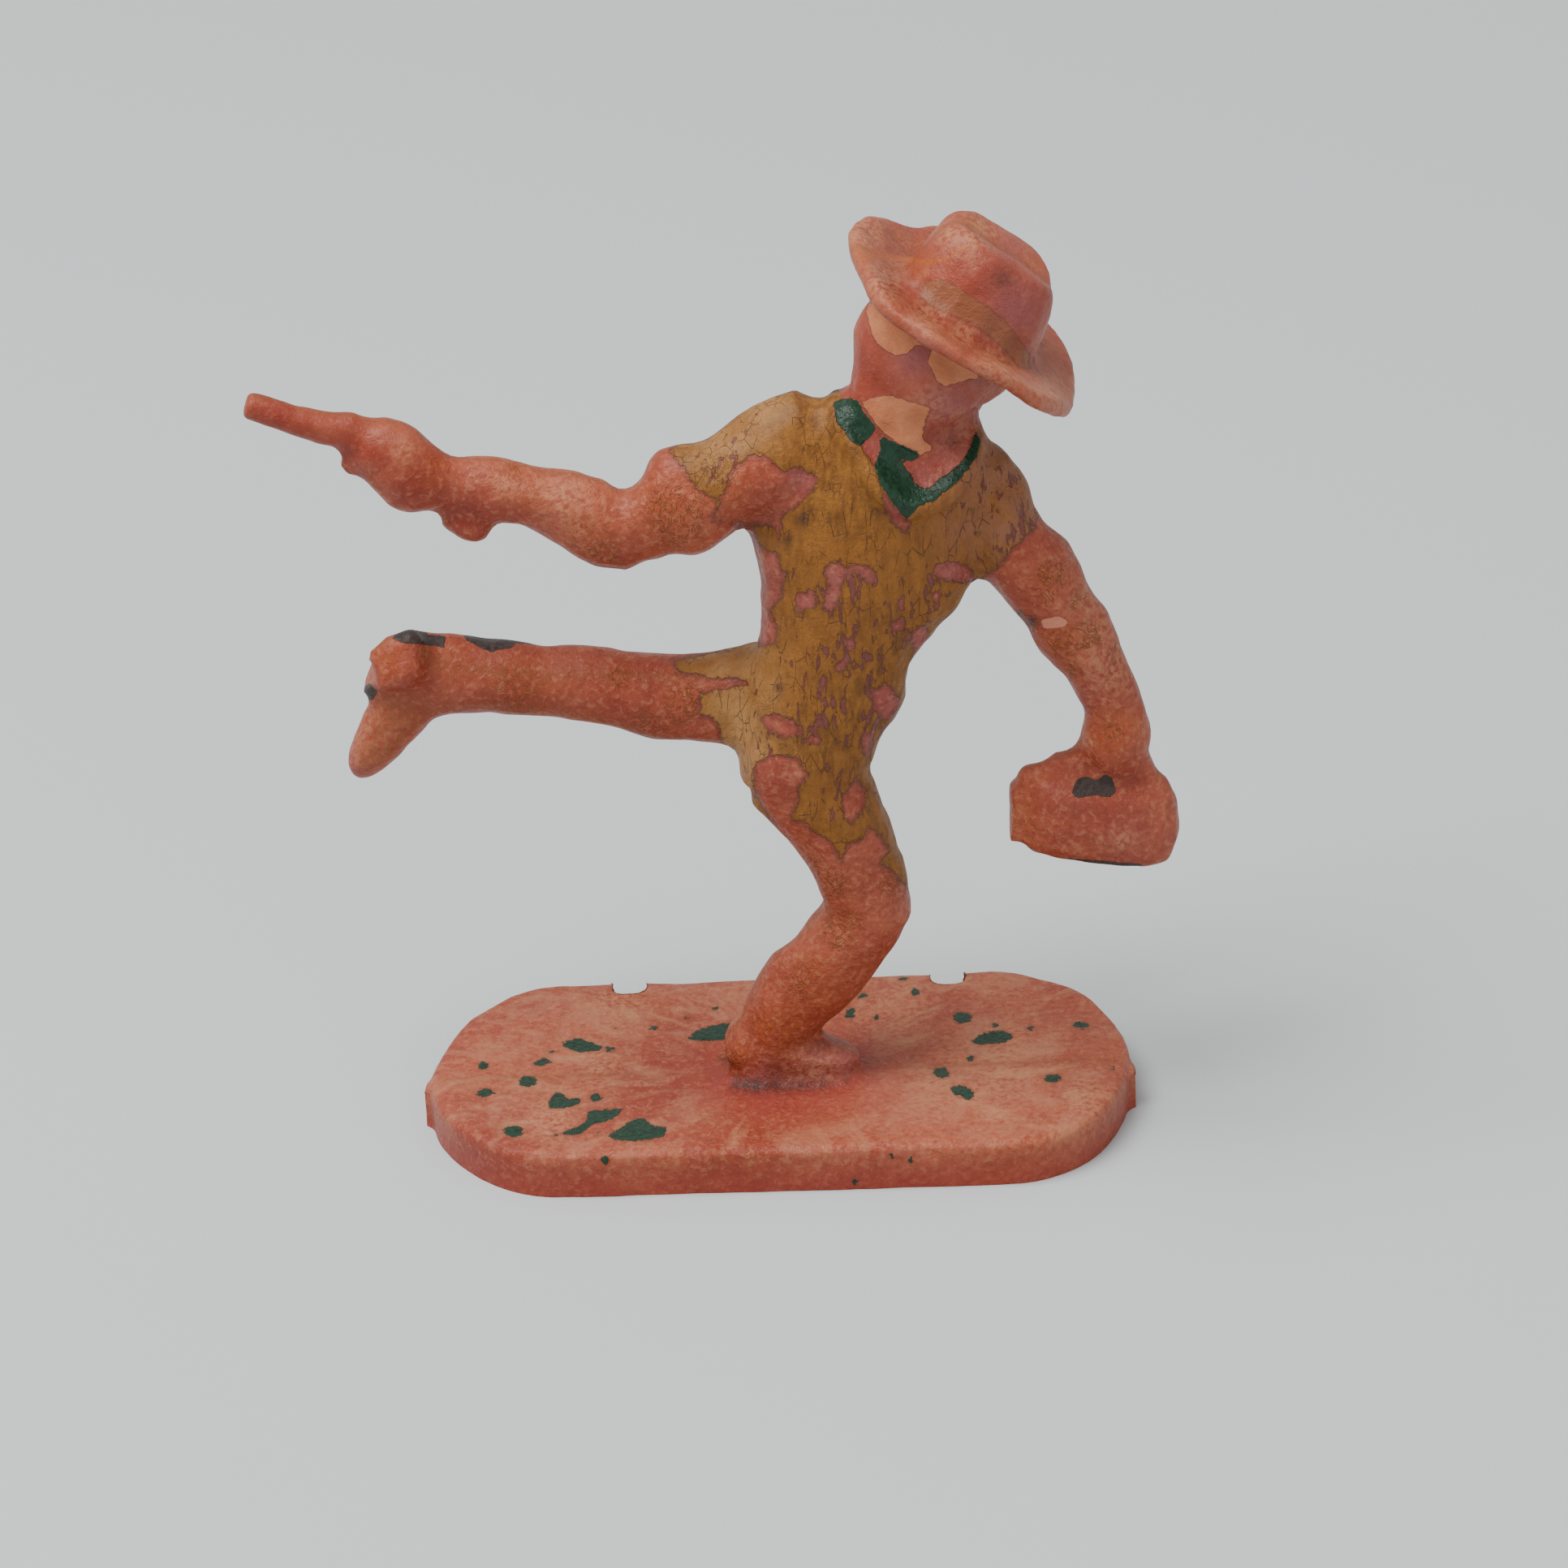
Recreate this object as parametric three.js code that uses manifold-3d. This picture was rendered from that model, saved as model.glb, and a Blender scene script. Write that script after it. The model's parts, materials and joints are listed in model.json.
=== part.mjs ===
// Toy cowboy figure: a running man with a pistol and a bag, moulded in soft plastic on a long stand.
// Millimetres, +Z up. The origin is the centre of the stand's underside, and +X runs along the stand.
import * as THREE from "three";
import { mergeVertices } from "three/addons/utils/BufferGeometryUtils.js";
import Module from "manifold-3d";

const wasm = await Module();
wasm.setup();

// Clearance between neighbouring members, and the plane where the two halves of the mould met.
const SEAT = 0.3;
const PARTING_Y = -1.2;

// The stand: straight sides, elliptical ends, two gate notches in the back edge, a nub at each end.
const BASE_LENGTH = 40.5;
const BASE_WIDTH = 20.5;
const BASE_THICKNESS = 2.8;
const BASE_END = 7.2;
const BASE_EDGE = 0.6;
const NOTCH_WIDTH = 1.8;
const NOTCH_DEPTH = 1.6;
const LEFT_NOTCH_X = -9;
const RIGHT_NOTCH_X = 9.8;
const NUB_REACH = 0.4;
const NUB_WIDTH = 1.2;

// Bones: a length, and a lean measured up from +X in the plane of the figure.
const ANKLE_X = -0.8;
const ANKLE_HEIGHT = 2;
const SHIN = { length: 10.3, lean: 54 };
const THIGH = { length: 10.5, lean: 110 };
const TRUNK = { length: 21.7, lean: 73 };
const TRAILING_HIP = { up: 2.8, back: 1.5 };
const TRAILING_THIGH = { length: 9.2, lean: 177 };
const TRAILING_SHIN = { length: 12.8, lean: 172.6 };
const TRAILING_FOOT = { length: 7.4, lean: 236 };
const PISTOL_SHOULDER = { up: 18.6, out: 4.2 };
const PISTOL_UPPER_ARM = { length: 11.9, lean: 202.6 };
const PISTOL_FOREARM = { length: 10, lean: 161.6 };
const PISTOL_HAND = { length: 5.5, lean: 156.7 };
const BARREL = { length: 6.3, lean: 160.5, rise: 0.6, tail: 1.6 };
const BAG_SHOULDER = { up: 18.6, out: 4.85 };
const BAG_UPPER_ARM = { length: 9.1, lean: -61.2 };
const BAG_FOREARM = { length: 6.6, lean: -64.6 };
const BAG_HAND = { length: 3.4, lean: -86.6 };
const NECK = { length: 3.2, lean: 84 };
const HEAD = { length: 5.1, lean: 47.5 };

// Oval rings on those bones: share of the bone, half the width in the figure's plane, half the depth.
const SHAFT_FOOT = { at: -0.06, wide: 1.7, deep: 1.4 };
const SHAFT_ANKLE = { at: 0.1, wide: 2.15, deep: 1.8 };
const SHAFT_CALF = { at: 0.32, wide: 2.35, deep: 2 };
const BOOT_TOP = { at: 0.56, wide: 2.75, deep: 2.35 };
const SHIN_TOP = { at: 0.8, wide: 2.35, deep: 2.3 };
const KNEE = { at: 1, wide: 2.35, deep: 2.4 };
const THIGH_LOW = { at: 0.25, wide: 2.65, deep: 2.6 };
const THIGH_MID = { at: 0.55, wide: 3.1, deep: 3 };
const THIGH_TOP = { at: 0.85, wide: 3.7, deep: 3.3 };

const CROTCH = { at: -0.1, wide: 3.1, deep: 2.8 };
const HIPS = { at: -0.01, wide: 4.1, deep: 3.3 };
const BELT = { at: 0.083, wide: 4.3, deep: 3.4 };
const WAIST = { at: 0.286, wide: 4.3, deep: 3.3 };
const RIBS = { at: 0.46, wide: 5, deep: 3.6 };
const CHEST = { at: 0.627, wide: 6.6, deep: 3.8 };
const SHOULDERS = { at: 0.793, wide: 6.9, deep: 3.5 };
const YOKE = { at: 0.931, wide: 6.3, deep: 2.9 };
const COLLAR = { at: 1.01, wide: 2.9, deep: 2.2 };

const TRAIL_ROOT = { at: 0.12, wide: 3.4, deep: 2.9 };
const TRAIL_THIGH = { at: 0.55, wide: 2.7, deep: 2.5 };
const TRAIL_KNEE = { at: 1, wide: 2.6, deep: 2.4 };
const TRAIL_CALF = { at: 0.25, wide: 2.45, deep: 2.25 };
const TRAIL_BOOT_TOP = { at: 0.5, wide: 2.25, deep: 2.1 };
const TRAIL_SHAFT = { at: 0.75, wide: 2.3, deep: 2.05 };
const TRAIL_ANKLE = { at: 1.08, wide: 2.8, deep: 1.9 };

const SLEEVE_ROOT = { at: 0, wide: 3.1, deep: 2.4 };
const SLEEVE_TOP = { at: 0.2, wide: 3.3, deep: 2.8 };
const SLEEVE_MID = { at: 0.44, wide: 3.1, deep: 2.8 };
const SLEEVE_END = { at: 0.68, wide: 3.1, deep: 2.6 };
const CUFF_END = { at: 0.82, wide: 2.6, deep: 2.3 };
const ELBOW = { at: 1, wide: 2.5, deep: 2.1 };
const FOREARM_FULL = { at: 0.2, wide: 2.6, deep: 2.1 };
const FOREARM_MID = { at: 0.5, wide: 2.1, deep: 1.9 };
const WRIST = { at: 1, wide: 1.75, deep: 1.55 };
const FIST_BACK = { at: 0.25, wide: 2.1, deep: 1.7 };
const FIST_FULL = { at: 0.5, wide: 2.4, deep: 1.85 };
const FIST_FRONT = { at: 0.8, wide: 2, deep: 1.7 };
const FIST_TIP = { at: 1, wide: 1.1, deep: 1.1 };

const BAG_SLEEVE_ROOT = { at: -0.05, wide: 1.9, deep: 1.9 };
const BAG_SLEEVE_TOP = { at: 0.18, wide: 2.5, deep: 2.5 };
const BAG_SLEEVE_MID = { at: 0.48, wide: 2.45, deep: 2.4 };
const BAG_SLEEVE_END = { at: 0.76, wide: 2.6, deep: 2.4 };
const BAG_CUFF_END = { at: 0.98, wide: 2.4, deep: 2.2 };
const BAG_FOREARM_MID = { at: 0.45, wide: 2.2, deep: 1.95 };
const BAG_WRIST = { at: 1, wide: 1.75, deep: 1.6 };
const BAG_PALM = { at: 0.6, wide: 2.05, deep: 1.9 };
const BAG_KNUCKLES = { at: 1, wide: 1.7, deep: 1.6 };

// Members that are not drawn along a bone.
const FOOT_LENGTH = 7.8;
const FOOT_HEEL_BACK = 2.6;
const FOOT_SQUARE = 2.4;
const FOOT_RINGS = [
  { at: 0, tall: 1.4, deep: 1.1 },
  { at: 0.12, tall: 2.9, deep: 1.6 },
  { at: 0.4, tall: 2.9, deep: 1.8 },
  { at: 0.7, tall: 2, deep: 1.8 },
  { at: 0.92, tall: 1.7, deep: 1.45 },
  { at: 1, tall: 0.85, deep: 0.65 },
];
const RAISED_FOOT_RINGS = [
  { at: -0.16, wide: 2.1, deep: 1.4 },
  { at: 0.06, wide: 2.65, deep: 1.8 },
  { at: 0.42, wide: 2.1, deep: 1.8 },
  { at: 0.72, wide: 1.6, deep: 1.7 },
  { at: 0.92, wide: 1.05, deep: 1.2 },
  { at: 1, wide: 0.45, deep: 0.5 },
];
const HEEL_BLOCK = { long: 2.4, reach: 2.9, deep: 1.5, along: 0.2 };
const BREECH_RADIUS = 1;
const MUZZLE_RADIUS = 0.76;
const MUZZLE_ROUND = 0.25;
const PISTOL_FRAME = { long: 3.2, wide: 1.2, deep: 1.2, drop: 0.9, ahead: -1 };
const PISTOL_BUTT = { long: 2.3, wide: 1.15, deep: 1.25, lean: -28, under: 2.2, rear: 0.6 };
const NECK_WIDE = 3.1;
const NECK_DEEP = 2.9;
const NECK_RUN = [0, 0.7, 1.4];
const HEAD_RINGS = [
  { at: -0.1, wide: 3.2, deep: 2.7 },
  { at: 0.2, wide: 4.2, deep: 3.2 },
  { at: 0.6, wide: 4.7, deep: 3.4 },
  { at: 0.97, wide: 4.1, deep: 3.1 },
];
const KERCHIEF = { wide: 0.9, tall: 0.8, drop: 3.8, spread: 3.6, slope: 0.3, below: 0.1, rings: 10 };
const KERCHIEF_THROAT = 3.7;
const KERCHIEF_NAPE = 3.1;

// The hat, in its own frame: length and width of the brim, sides that curl up, a creased crown.
const HAT_TILT = 34.5;
const BRIM_HALF_LENGTH = 7.8;
const BRIM_HALF_WIDTH = 8.1;
const BRIM_THICKNESS = 1;
const BRIM_CURL = 0.9;
const BRIM_BACK_DROOP = 1;
const BRIM_SHARES = [0, 0.35, 0.7];
const BRIM_EDGE_STEPS = 4;
const BRIM_AROUND = 32;
const CROWN_HEIGHT = 5.3;
const CROWN_FOOT = { long: 4.4, wide: 4.2 };
const CROWN_TOP = { long: 3.4, wide: 3 };
const CROWN_SHIFT = -0.3;
const CROWN_CREASE = { depth: 0.6, from: 0.6, narrow: 6 };
const CROWN_SQUARE = 2.3;
const CROWN_RINGS = [
  { up: 0, taper: 0, full: 1 },
  { up: 0.4, taper: 0.35, full: 1 },
  { up: 0.8, taper: 0.85, full: 1 },
  { up: 0.96, taper: 1, full: 0.9 },
  { up: 1, taper: 1, full: 0.5 },
];

// The bag hangs from the hand, leaning a little.
const BAG = { height: 5.5, lean: 84, halfLength: 4.7, halfDepth: 2.1, ahead: -0.6, drop: 0.9 };
const BAG_FRAME = { halfLength: 2.8, halfDepth: 0.9, height: 0.8 };
const BAG_SQUARE = 2.8;
const BAG_RINGS = [
  { at: 0, long: 0.76, deep: 0.7 },
  { at: 0.14, long: 0.95, deep: 0.95 },
  { at: 0.45, long: 1, deep: 1 },
  { at: 0.8, long: 0.93, deep: 0.85 },
  { at: 1, long: 0.8, deep: 0.5 },
];
const GUSSET = { reach: 0.5, height: 3.4, halfDepth: 1.3, up: 0.45 };

const PLASTIC = new THREE.MeshStandardMaterial({ color: 0xc9775f, roughness: 0.5, metalness: 0 });
const OCHRE = new THREE.MeshStandardMaterial({ color: 0x9a6a35, roughness: 0.6, metalness: 0 });
const GREEN = new THREE.MeshStandardMaterial({ color: 0x245238, roughness: 0.45, metalness: 0 });

// Squareness of boxy members, and the rings of a rounded lump.
const BOXY = 3;
const LUMP_SHARES = [0, 0.2, 0.5, 0.8, 1];
const LUMP_TAPER = 0.8;

// Ring and path resolution.
const AROUND = 16;
const BETWEEN = 2;

const radians = THREE.MathUtils.degToRad;

// The point a given distance along a bone that leans in the figure's plane.
function along(from, distance, lean) {
  const turn = radians(lean);
  return new THREE.Vector3(
    from.x + distance * Math.cos(turn),
    from.y,
    from.z + distance * Math.sin(turn),
  );
}

// One oval ring at a share of a bone.
function ringOn(from, bone, ring) {
  return { at: along(from, bone.length * ring.at, bone.lean), wide: ring.wide, deep: ring.deep };
}

// Rings strung on a smooth path and skinned into one closed solid. A piece of the path runs between two
// ring numbers, and each end can be trimmed back. Grow widens the solid on every side.
function loft(rings, options = {}) {
  const { first = 0, last = rings.length - 1, trimFirst = 0, trimLast = 0 } = options;
  const { grow = 0, square = 2, closed = false, side = new THREE.Vector3(0, 1, 0) } = options;
  const path = new THREE.CatmullRomCurve3(rings.map((r) => r.at), closed);
  const sizes = new THREE.CatmullRomCurve3(rings.map((r) => new THREE.Vector3(r.wide, r.deep, 0)), closed);
  const spans = closed ? rings.length : rings.length - 1;
  const steps = closed ? rings.length * BETWEEN : (last - first) * BETWEEN;
  const count = closed ? steps : steps + 1;
  const points = [];
  for (let i = 0; i < count; i++) {
    const t = closed ? i / steps : (first + (i * (last - first)) / steps) / spans;
    const centre = path.getPoint(t);
    const size = sizes.getPoint(t);
    const tangent = path.getTangent(t);
    if (!closed && i === 0) centre.addScaledVector(tangent, trimFirst - grow);
    if (!closed && i === steps) centre.addScaledVector(tangent, grow - trimLast);
    const deepward = side.clone().addScaledVector(tangent, -side.dot(tangent)).normalize();
    const wideward = new THREE.Vector3().crossVectors(deepward, tangent);
    for (let j = 0; j < AROUND; j++) {
      const turn = (2 * Math.PI * j) / AROUND;
      const c = Math.sign(Math.cos(turn)) * Math.abs(Math.cos(turn)) ** (2 / square);
      const s = Math.sign(Math.sin(turn)) * Math.abs(Math.sin(turn)) ** (2 / square);
      const point = centre.clone();
      point.addScaledVector(wideward, c * (size.x + grow)).addScaledVector(deepward, s * (size.y + grow));
      points.push(point);
    }
    if (!closed && (i === 0 || i === steps)) points.push(centre);
  }
  return closed ? skin(points, count, true) : skin(withoutCentres(points, count), count, false);
}

// The path's two end centres, which close the caps, move to the end of the list.
function withoutCentres(points, count) {
  const start = points[AROUND];
  const end = points[points.length - 1];
  const body = points.filter((point) => point !== start && point !== end);
  if (body.length !== count * AROUND) throw new Error("a loft lost a ring");
  return [...body, start, end];
}

// Triangles between neighbouring rings, and a fan over each open end.
function skin(points, count, closed) {
  const index = [];
  const at = (i, j) => (i % count) * AROUND + (j % AROUND);
  for (let i = 0; i < (closed ? count : count - 1); i++) {
    for (let j = 0; j < AROUND; j++) {
      index.push(at(i, j), at(i, j + 1), at(i + 1, j + 1));
      index.push(at(i, j), at(i + 1, j + 1), at(i + 1, j));
    }
  }
  for (let j = 0; j < AROUND && !closed; j++) {
    index.push(count * AROUND, at(0, j + 1), at(0, j));
    index.push(count * AROUND + 1, at(count - 1, j), at(count - 1, j + 1));
  }
  const geometry = new THREE.BufferGeometry().setFromPoints(points);
  geometry.setIndex(index);
  return geometry;
}

function solid(geometry) {
  const bare = geometry.clone();
  bare.deleteAttribute("normal");
  bare.deleteAttribute("uv");
  const merged = mergeVertices(bare);
  const vertProperties = Float32Array.from(merged.attributes.position.array);
  const triVerts = Uint32Array.from(merged.index.array);
  return new wasm.Manifold(new wasm.Mesh({ numProp: 3, vertProperties, triVerts }));
}

function geometryOf(body) {
  const mesh = body.getMesh();
  const geometry = new THREE.BufferGeometry();
  geometry.setAttribute("position", new THREE.BufferAttribute(mesh.vertProperties, 3));
  geometry.setIndex(new THREE.BufferAttribute(mesh.triVerts, 1));
  return geometry;
}

const cut = (geometry, ...tools) => geometryOf(tools.reduce((a, b) => a.subtract(solid(b)), solid(geometry)));
const join = (geometry, ...others) => geometryOf(others.reduce((a, b) => a.add(solid(b)), solid(geometry)));

// The skeleton, from the stand upwards. The figure's own plane is y = 0 inside its group.
const soleZ = BASE_THICKNESS + SEAT;
const ankle = new THREE.Vector3(ANKLE_X, 0, soleZ + ANKLE_HEIGHT);
const knee = along(ankle, SHIN.length, SHIN.lean);
const hips = along(knee, THIGH.length, THIGH.lean);
const trunkAt = (up) => along(hips, up, TRUNK.lean);
const trailingHip = trunkAt(TRAILING_HIP.up).setY(TRAILING_HIP.back);
const trailingKnee = along(trailingHip, TRAILING_THIGH.length, TRAILING_THIGH.lean);
const trailingAnkle = along(trailingKnee, TRAILING_SHIN.length, TRAILING_SHIN.lean);
const pistolShoulder = along(trunkAt(PISTOL_SHOULDER.up), PISTOL_SHOULDER.out, TRUNK.lean + 90);
const pistolElbow = along(pistolShoulder, PISTOL_UPPER_ARM.length, PISTOL_UPPER_ARM.lean);
const pistolWrist = along(pistolElbow, PISTOL_FOREARM.length, PISTOL_FOREARM.lean);
const pistolFist = along(pistolWrist, PISTOL_HAND.length, PISTOL_HAND.lean);
const bagShoulder = along(trunkAt(BAG_SHOULDER.up), BAG_SHOULDER.out, TRUNK.lean - 90);
const bagElbow = along(bagShoulder, BAG_UPPER_ARM.length, BAG_UPPER_ARM.lean);
const bagWrist = along(bagElbow, BAG_FOREARM.length, BAG_FOREARM.lean);
const bagKnuckles = along(bagWrist, BAG_HAND.length, BAG_HAND.lean);
const neckFoot = trunkAt(TRUNK.length - NECK.length / 2);
const chin = along(neckFoot, NECK.length, NECK.lean);
const hatSeat = along(chin, HEAD.length, HEAD.lean);

// The stand is an outline with elliptical ends, pulled up and rounded over at its top edge.
function makeBase() {
  const halfLength = BASE_LENGTH / 2 - BASE_EDGE;
  const halfWidth = BASE_WIDTH / 2 - BASE_EDGE;
  const straight = halfLength - BASE_END;
  const outline = new THREE.Shape();
  outline.moveTo(-straight, -halfWidth);
  outline.lineTo(straight, -halfWidth);
  outline.absellipse(straight, 0, BASE_END, halfWidth, -Math.PI / 2, Math.PI / 2);
  outline.lineTo(-straight, halfWidth);
  outline.absellipse(-straight, 0, BASE_END, halfWidth, Math.PI / 2, (3 * Math.PI) / 2);
  const bevel = { bevelSize: BASE_EDGE, bevelThickness: BASE_EDGE, bevelSegments: 3 };
  const slab = new THREE.ExtrudeGeometry(outline, { depth: BASE_THICKNESS, curveSegments: 14, ...bevel });
  const under = new THREE.BoxGeometry(2 * BASE_LENGTH, 2 * BASE_WIDTH, BASE_THICKNESS);
  under.translate(0, 0, -BASE_THICKNESS / 2);
  slab.translate(0, 0, -BASE_EDGE);
  const nub = new THREE.BoxGeometry(BASE_LENGTH + 2 * NUB_REACH, NUB_WIDTH, BASE_THICKNESS - BASE_EDGE);
  nub.translate(0, PARTING_Y, (BASE_THICKNESS - BASE_EDGE) / 2);
  const notches = [LEFT_NOTCH_X, RIGHT_NOTCH_X].map((x) => {
    const notch = new THREE.BoxGeometry(NOTCH_WIDTH, 2 * NOTCH_DEPTH, 4 * BASE_THICKNESS);
    return notch.translate(x, BASE_WIDTH / 2, 0);
  });
  return cut(join(slab, nub), under, ...notches);
}

// The standing foot: rings from heel to toe, flat where it meets the stand.
function standingFoot(grow = 0) {
  const heelX = ankle.x - FOOT_HEEL_BACK;
  const rings = FOOT_RINGS.map((ring) => ({
    at: new THREE.Vector3(heelX + ring.at * FOOT_LENGTH, 0, soleZ + ring.tall / 2 - SEAT / 2),
    wide: ring.tall / 2 + SEAT / 2,
    deep: ring.deep,
  }));
  const ground = new THREE.BoxGeometry(3 * FOOT_LENGTH, 3 * FOOT_LENGTH, FOOT_LENGTH);
  ground.translate(ankle.x, 0, soleZ - grow - FOOT_LENGTH / 2);
  return cut(loft(rings, { grow, square: FOOT_SQUARE }), ground);
}

const standingLeg = [
  ringOn(ankle, SHIN, SHAFT_FOOT),
  ringOn(ankle, SHIN, SHAFT_ANKLE),
  ringOn(ankle, SHIN, SHAFT_CALF),
  ringOn(ankle, SHIN, BOOT_TOP),
  ringOn(ankle, SHIN, SHIN_TOP),
  ringOn(ankle, SHIN, KNEE),
  ringOn(knee, THIGH, THIGH_LOW),
  ringOn(knee, THIGH, THIGH_MID),
  ringOn(knee, THIGH, THIGH_TOP),
];
const bootTopRing = 3;

const trunkOutline = [CROTCH, HIPS, BELT, WAIST, RIBS, CHEST, SHOULDERS, YOKE, COLLAR];
const trunkRings = trunkOutline.map((ring) => ringOn(hips, TRUNK, ring));
const beltRing = 2;
const seat = (grow = 0) => loft(trunkRings, { last: beltRing, trimLast: SEAT / 2, grow });
const shirt = (grow = 0) => loft(trunkRings, { first: beltRing, trimFirst: SEAT / 2, grow });

const trailingLeg = [
  ringOn(trailingHip, TRAILING_THIGH, TRAIL_ROOT),
  ringOn(trailingHip, TRAILING_THIGH, TRAIL_THIGH),
  ringOn(trailingHip, TRAILING_THIGH, TRAIL_KNEE),
  ringOn(trailingKnee, TRAILING_SHIN, TRAIL_CALF),
  ringOn(trailingKnee, TRAILING_SHIN, TRAIL_BOOT_TOP),
  ringOn(trailingKnee, TRAILING_SHIN, TRAIL_SHAFT),
  ringOn(trailingKnee, TRAILING_SHIN, TRAIL_ANKLE),
];
const trailingBootTopRing = 4;
const shaftStretch = { first: trailingBootTopRing, trimFirst: SEAT / 2 };
const trailingShaft = (grow = 0) => loft(trailingLeg, { ...shaftStretch, grow });

const raisedFoot = RAISED_FOOT_RINGS.map((ring) => ringOn(trailingAnkle, TRAILING_FOOT, ring));
const trailingFoot = (grow = 0) => loft(raisedFoot, { grow });

function trailingHeel() {
  const middle = along(trailingAnkle, TRAILING_FOOT.length * HEEL_BLOCK.along, TRAILING_FOOT.lean);
  const outer = along(middle, HEEL_BLOCK.reach, TRAILING_FOOT.lean - 90);
  const rings = [middle, outer].map((at) => ({ at, wide: HEEL_BLOCK.long / 2, deep: HEEL_BLOCK.deep }));
  return loft(rings, { square: BOXY });
}

const pistolArm = [
  ringOn(pistolShoulder, PISTOL_UPPER_ARM, SLEEVE_ROOT),
  ringOn(pistolShoulder, PISTOL_UPPER_ARM, SLEEVE_TOP),
  ringOn(pistolShoulder, PISTOL_UPPER_ARM, SLEEVE_MID),
  ringOn(pistolShoulder, PISTOL_UPPER_ARM, SLEEVE_END),
  ringOn(pistolShoulder, PISTOL_UPPER_ARM, CUFF_END),
  ringOn(pistolShoulder, PISTOL_UPPER_ARM, ELBOW),
  ringOn(pistolElbow, PISTOL_FOREARM, FOREARM_FULL),
  ringOn(pistolElbow, PISTOL_FOREARM, FOREARM_MID),
  ringOn(pistolElbow, PISTOL_FOREARM, WRIST),
  ringOn(pistolWrist, PISTOL_HAND, FIST_BACK),
  ringOn(pistolWrist, PISTOL_HAND, FIST_FULL),
  ringOn(pistolWrist, PISTOL_HAND, FIST_FRONT),
  ringOn(pistolWrist, PISTOL_HAND, FIST_TIP),
];
const bagArm = [
  ringOn(bagShoulder, BAG_UPPER_ARM, BAG_SLEEVE_ROOT),
  ringOn(bagShoulder, BAG_UPPER_ARM, BAG_SLEEVE_TOP),
  ringOn(bagShoulder, BAG_UPPER_ARM, BAG_SLEEVE_MID),
  ringOn(bagShoulder, BAG_UPPER_ARM, BAG_SLEEVE_END),
  ringOn(bagShoulder, BAG_UPPER_ARM, BAG_CUFF_END),
  ringOn(bagElbow, BAG_FOREARM, BAG_FOREARM_MID),
  ringOn(bagElbow, BAG_FOREARM, BAG_WRIST),
  ringOn(bagWrist, BAG_HAND, BAG_PALM),
  ringOn(bagWrist, BAG_HAND, BAG_KNUCKLES),
];
const sleeveEndRing = 3;
const cuffEndRing = 4;
const pistolWristRing = 8;
const bagWristRing = 6;

// A stretch of a limb, with half the clearance taken off at a seam.
function stretch(rings, first, last, grow = 0) {
  const trimFirst = first > 0 ? SEAT / 2 : 0;
  const trimLast = last < rings.length - 1 ? SEAT / 2 : 0;
  return loft(rings, { first, last, trimFirst, trimLast, grow });
}

const pistolForearm = (grow = 0) => stretch(pistolArm, cuffEndRing, pistolWristRing, grow);
const pistolHand = (grow = 0) => stretch(pistolArm, pistolWristRing, pistolArm.length - 1, grow);

function barrel(grow = 0) {
  const breech = along(pistolFist, BARREL.rise, BARREL.lean - 90);
  const rear = along(breech, -BARREL.tail, BARREL.lean);
  const muzzle = along(breech, BARREL.length, BARREL.lean);
  const tip = along(muzzle, -MUZZLE_ROUND, BARREL.lean);
  const rings = [
    { at: rear, wide: BREECH_RADIUS, deep: BREECH_RADIUS },
    { at: rear.clone().lerp(tip, 0.5), wide: BREECH_RADIUS, deep: BREECH_RADIUS },
    { at: tip, wide: MUZZLE_RADIUS, deep: MUZZLE_RADIUS },
    { at: muzzle, wide: MUZZLE_RADIUS - MUZZLE_ROUND, deep: MUZZLE_RADIUS - MUZZLE_ROUND },
  ];
  return loft(rings, { grow });
}

// A lump of oval rings, fullest in its middle.
function lump(start, end, wide, deep) {
  const rings = LUMP_SHARES.map((share) => {
    const full = Math.sqrt(1 - LUMP_TAPER * (2 * share - 1) ** 2);
    return { at: start.clone().lerp(end, share), wide: wide * full, deep: deep * full };
  });
  return loft(rings);
}

function pistolFrame() {
  const front = along(pistolFist, PISTOL_FRAME.ahead, BARREL.lean);
  const middle = along(front, PISTOL_FRAME.drop, BARREL.lean + 90);
  const start = along(middle, PISTOL_FRAME.long / 2, BARREL.lean);
  const end = along(middle, -PISTOL_FRAME.long / 2, BARREL.lean);
  return cut(lump(start, end, PISTOL_FRAME.wide, PISTOL_FRAME.deep), pistolHand(SEAT), barrel(SEAT));
}

function pistolButt() {
  const end = along(pistolWrist, PISTOL_BUTT.long, PISTOL_BUTT.lean);
  const start = along(pistolWrist, -PISTOL_BUTT.rear, PISTOL_BUTT.lean);
  start.z -= PISTOL_BUTT.under;
  end.z -= PISTOL_BUTT.under;
  return cut(lump(start, end, PISTOL_BUTT.wide, PISTOL_BUTT.deep), pistolHand(SEAT), pistolForearm(SEAT));
}

// The bag: soft rounded sides, a bar across its mouth that the hand closes on, a stiff strip at one end.
const bagTop = along(along(bagKnuckles, BAG.ahead, BAG.lean - 90), -BAG.drop, BAG.lean);
const bagFoot = along(bagTop, -BAG.height, BAG.lean);

function bagBody(grow = 0) {
  const rings = BAG_RINGS.map((ring) => ({
    at: bagFoot.clone().lerp(bagTop, ring.at),
    wide: BAG.halfLength * ring.long,
    deep: BAG.halfDepth * ring.deep,
  }));
  return loft(rings, { grow, square: BAG_SQUARE });
}

function bagFrame(grow = 0) {
  const middle = along(bagTop, SEAT + BAG_FRAME.height / 2, BAG.lean);
  const start = along(middle, -BAG_FRAME.halfLength, BAG.lean - 90);
  const end = along(middle, BAG_FRAME.halfLength, BAG.lean - 90);
  const rings = [start, end].map((at) => ({ at, wide: BAG_FRAME.height / 2, deep: BAG_FRAME.halfDepth }));
  return loft(rings, { grow, square: BOXY });
}

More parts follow.
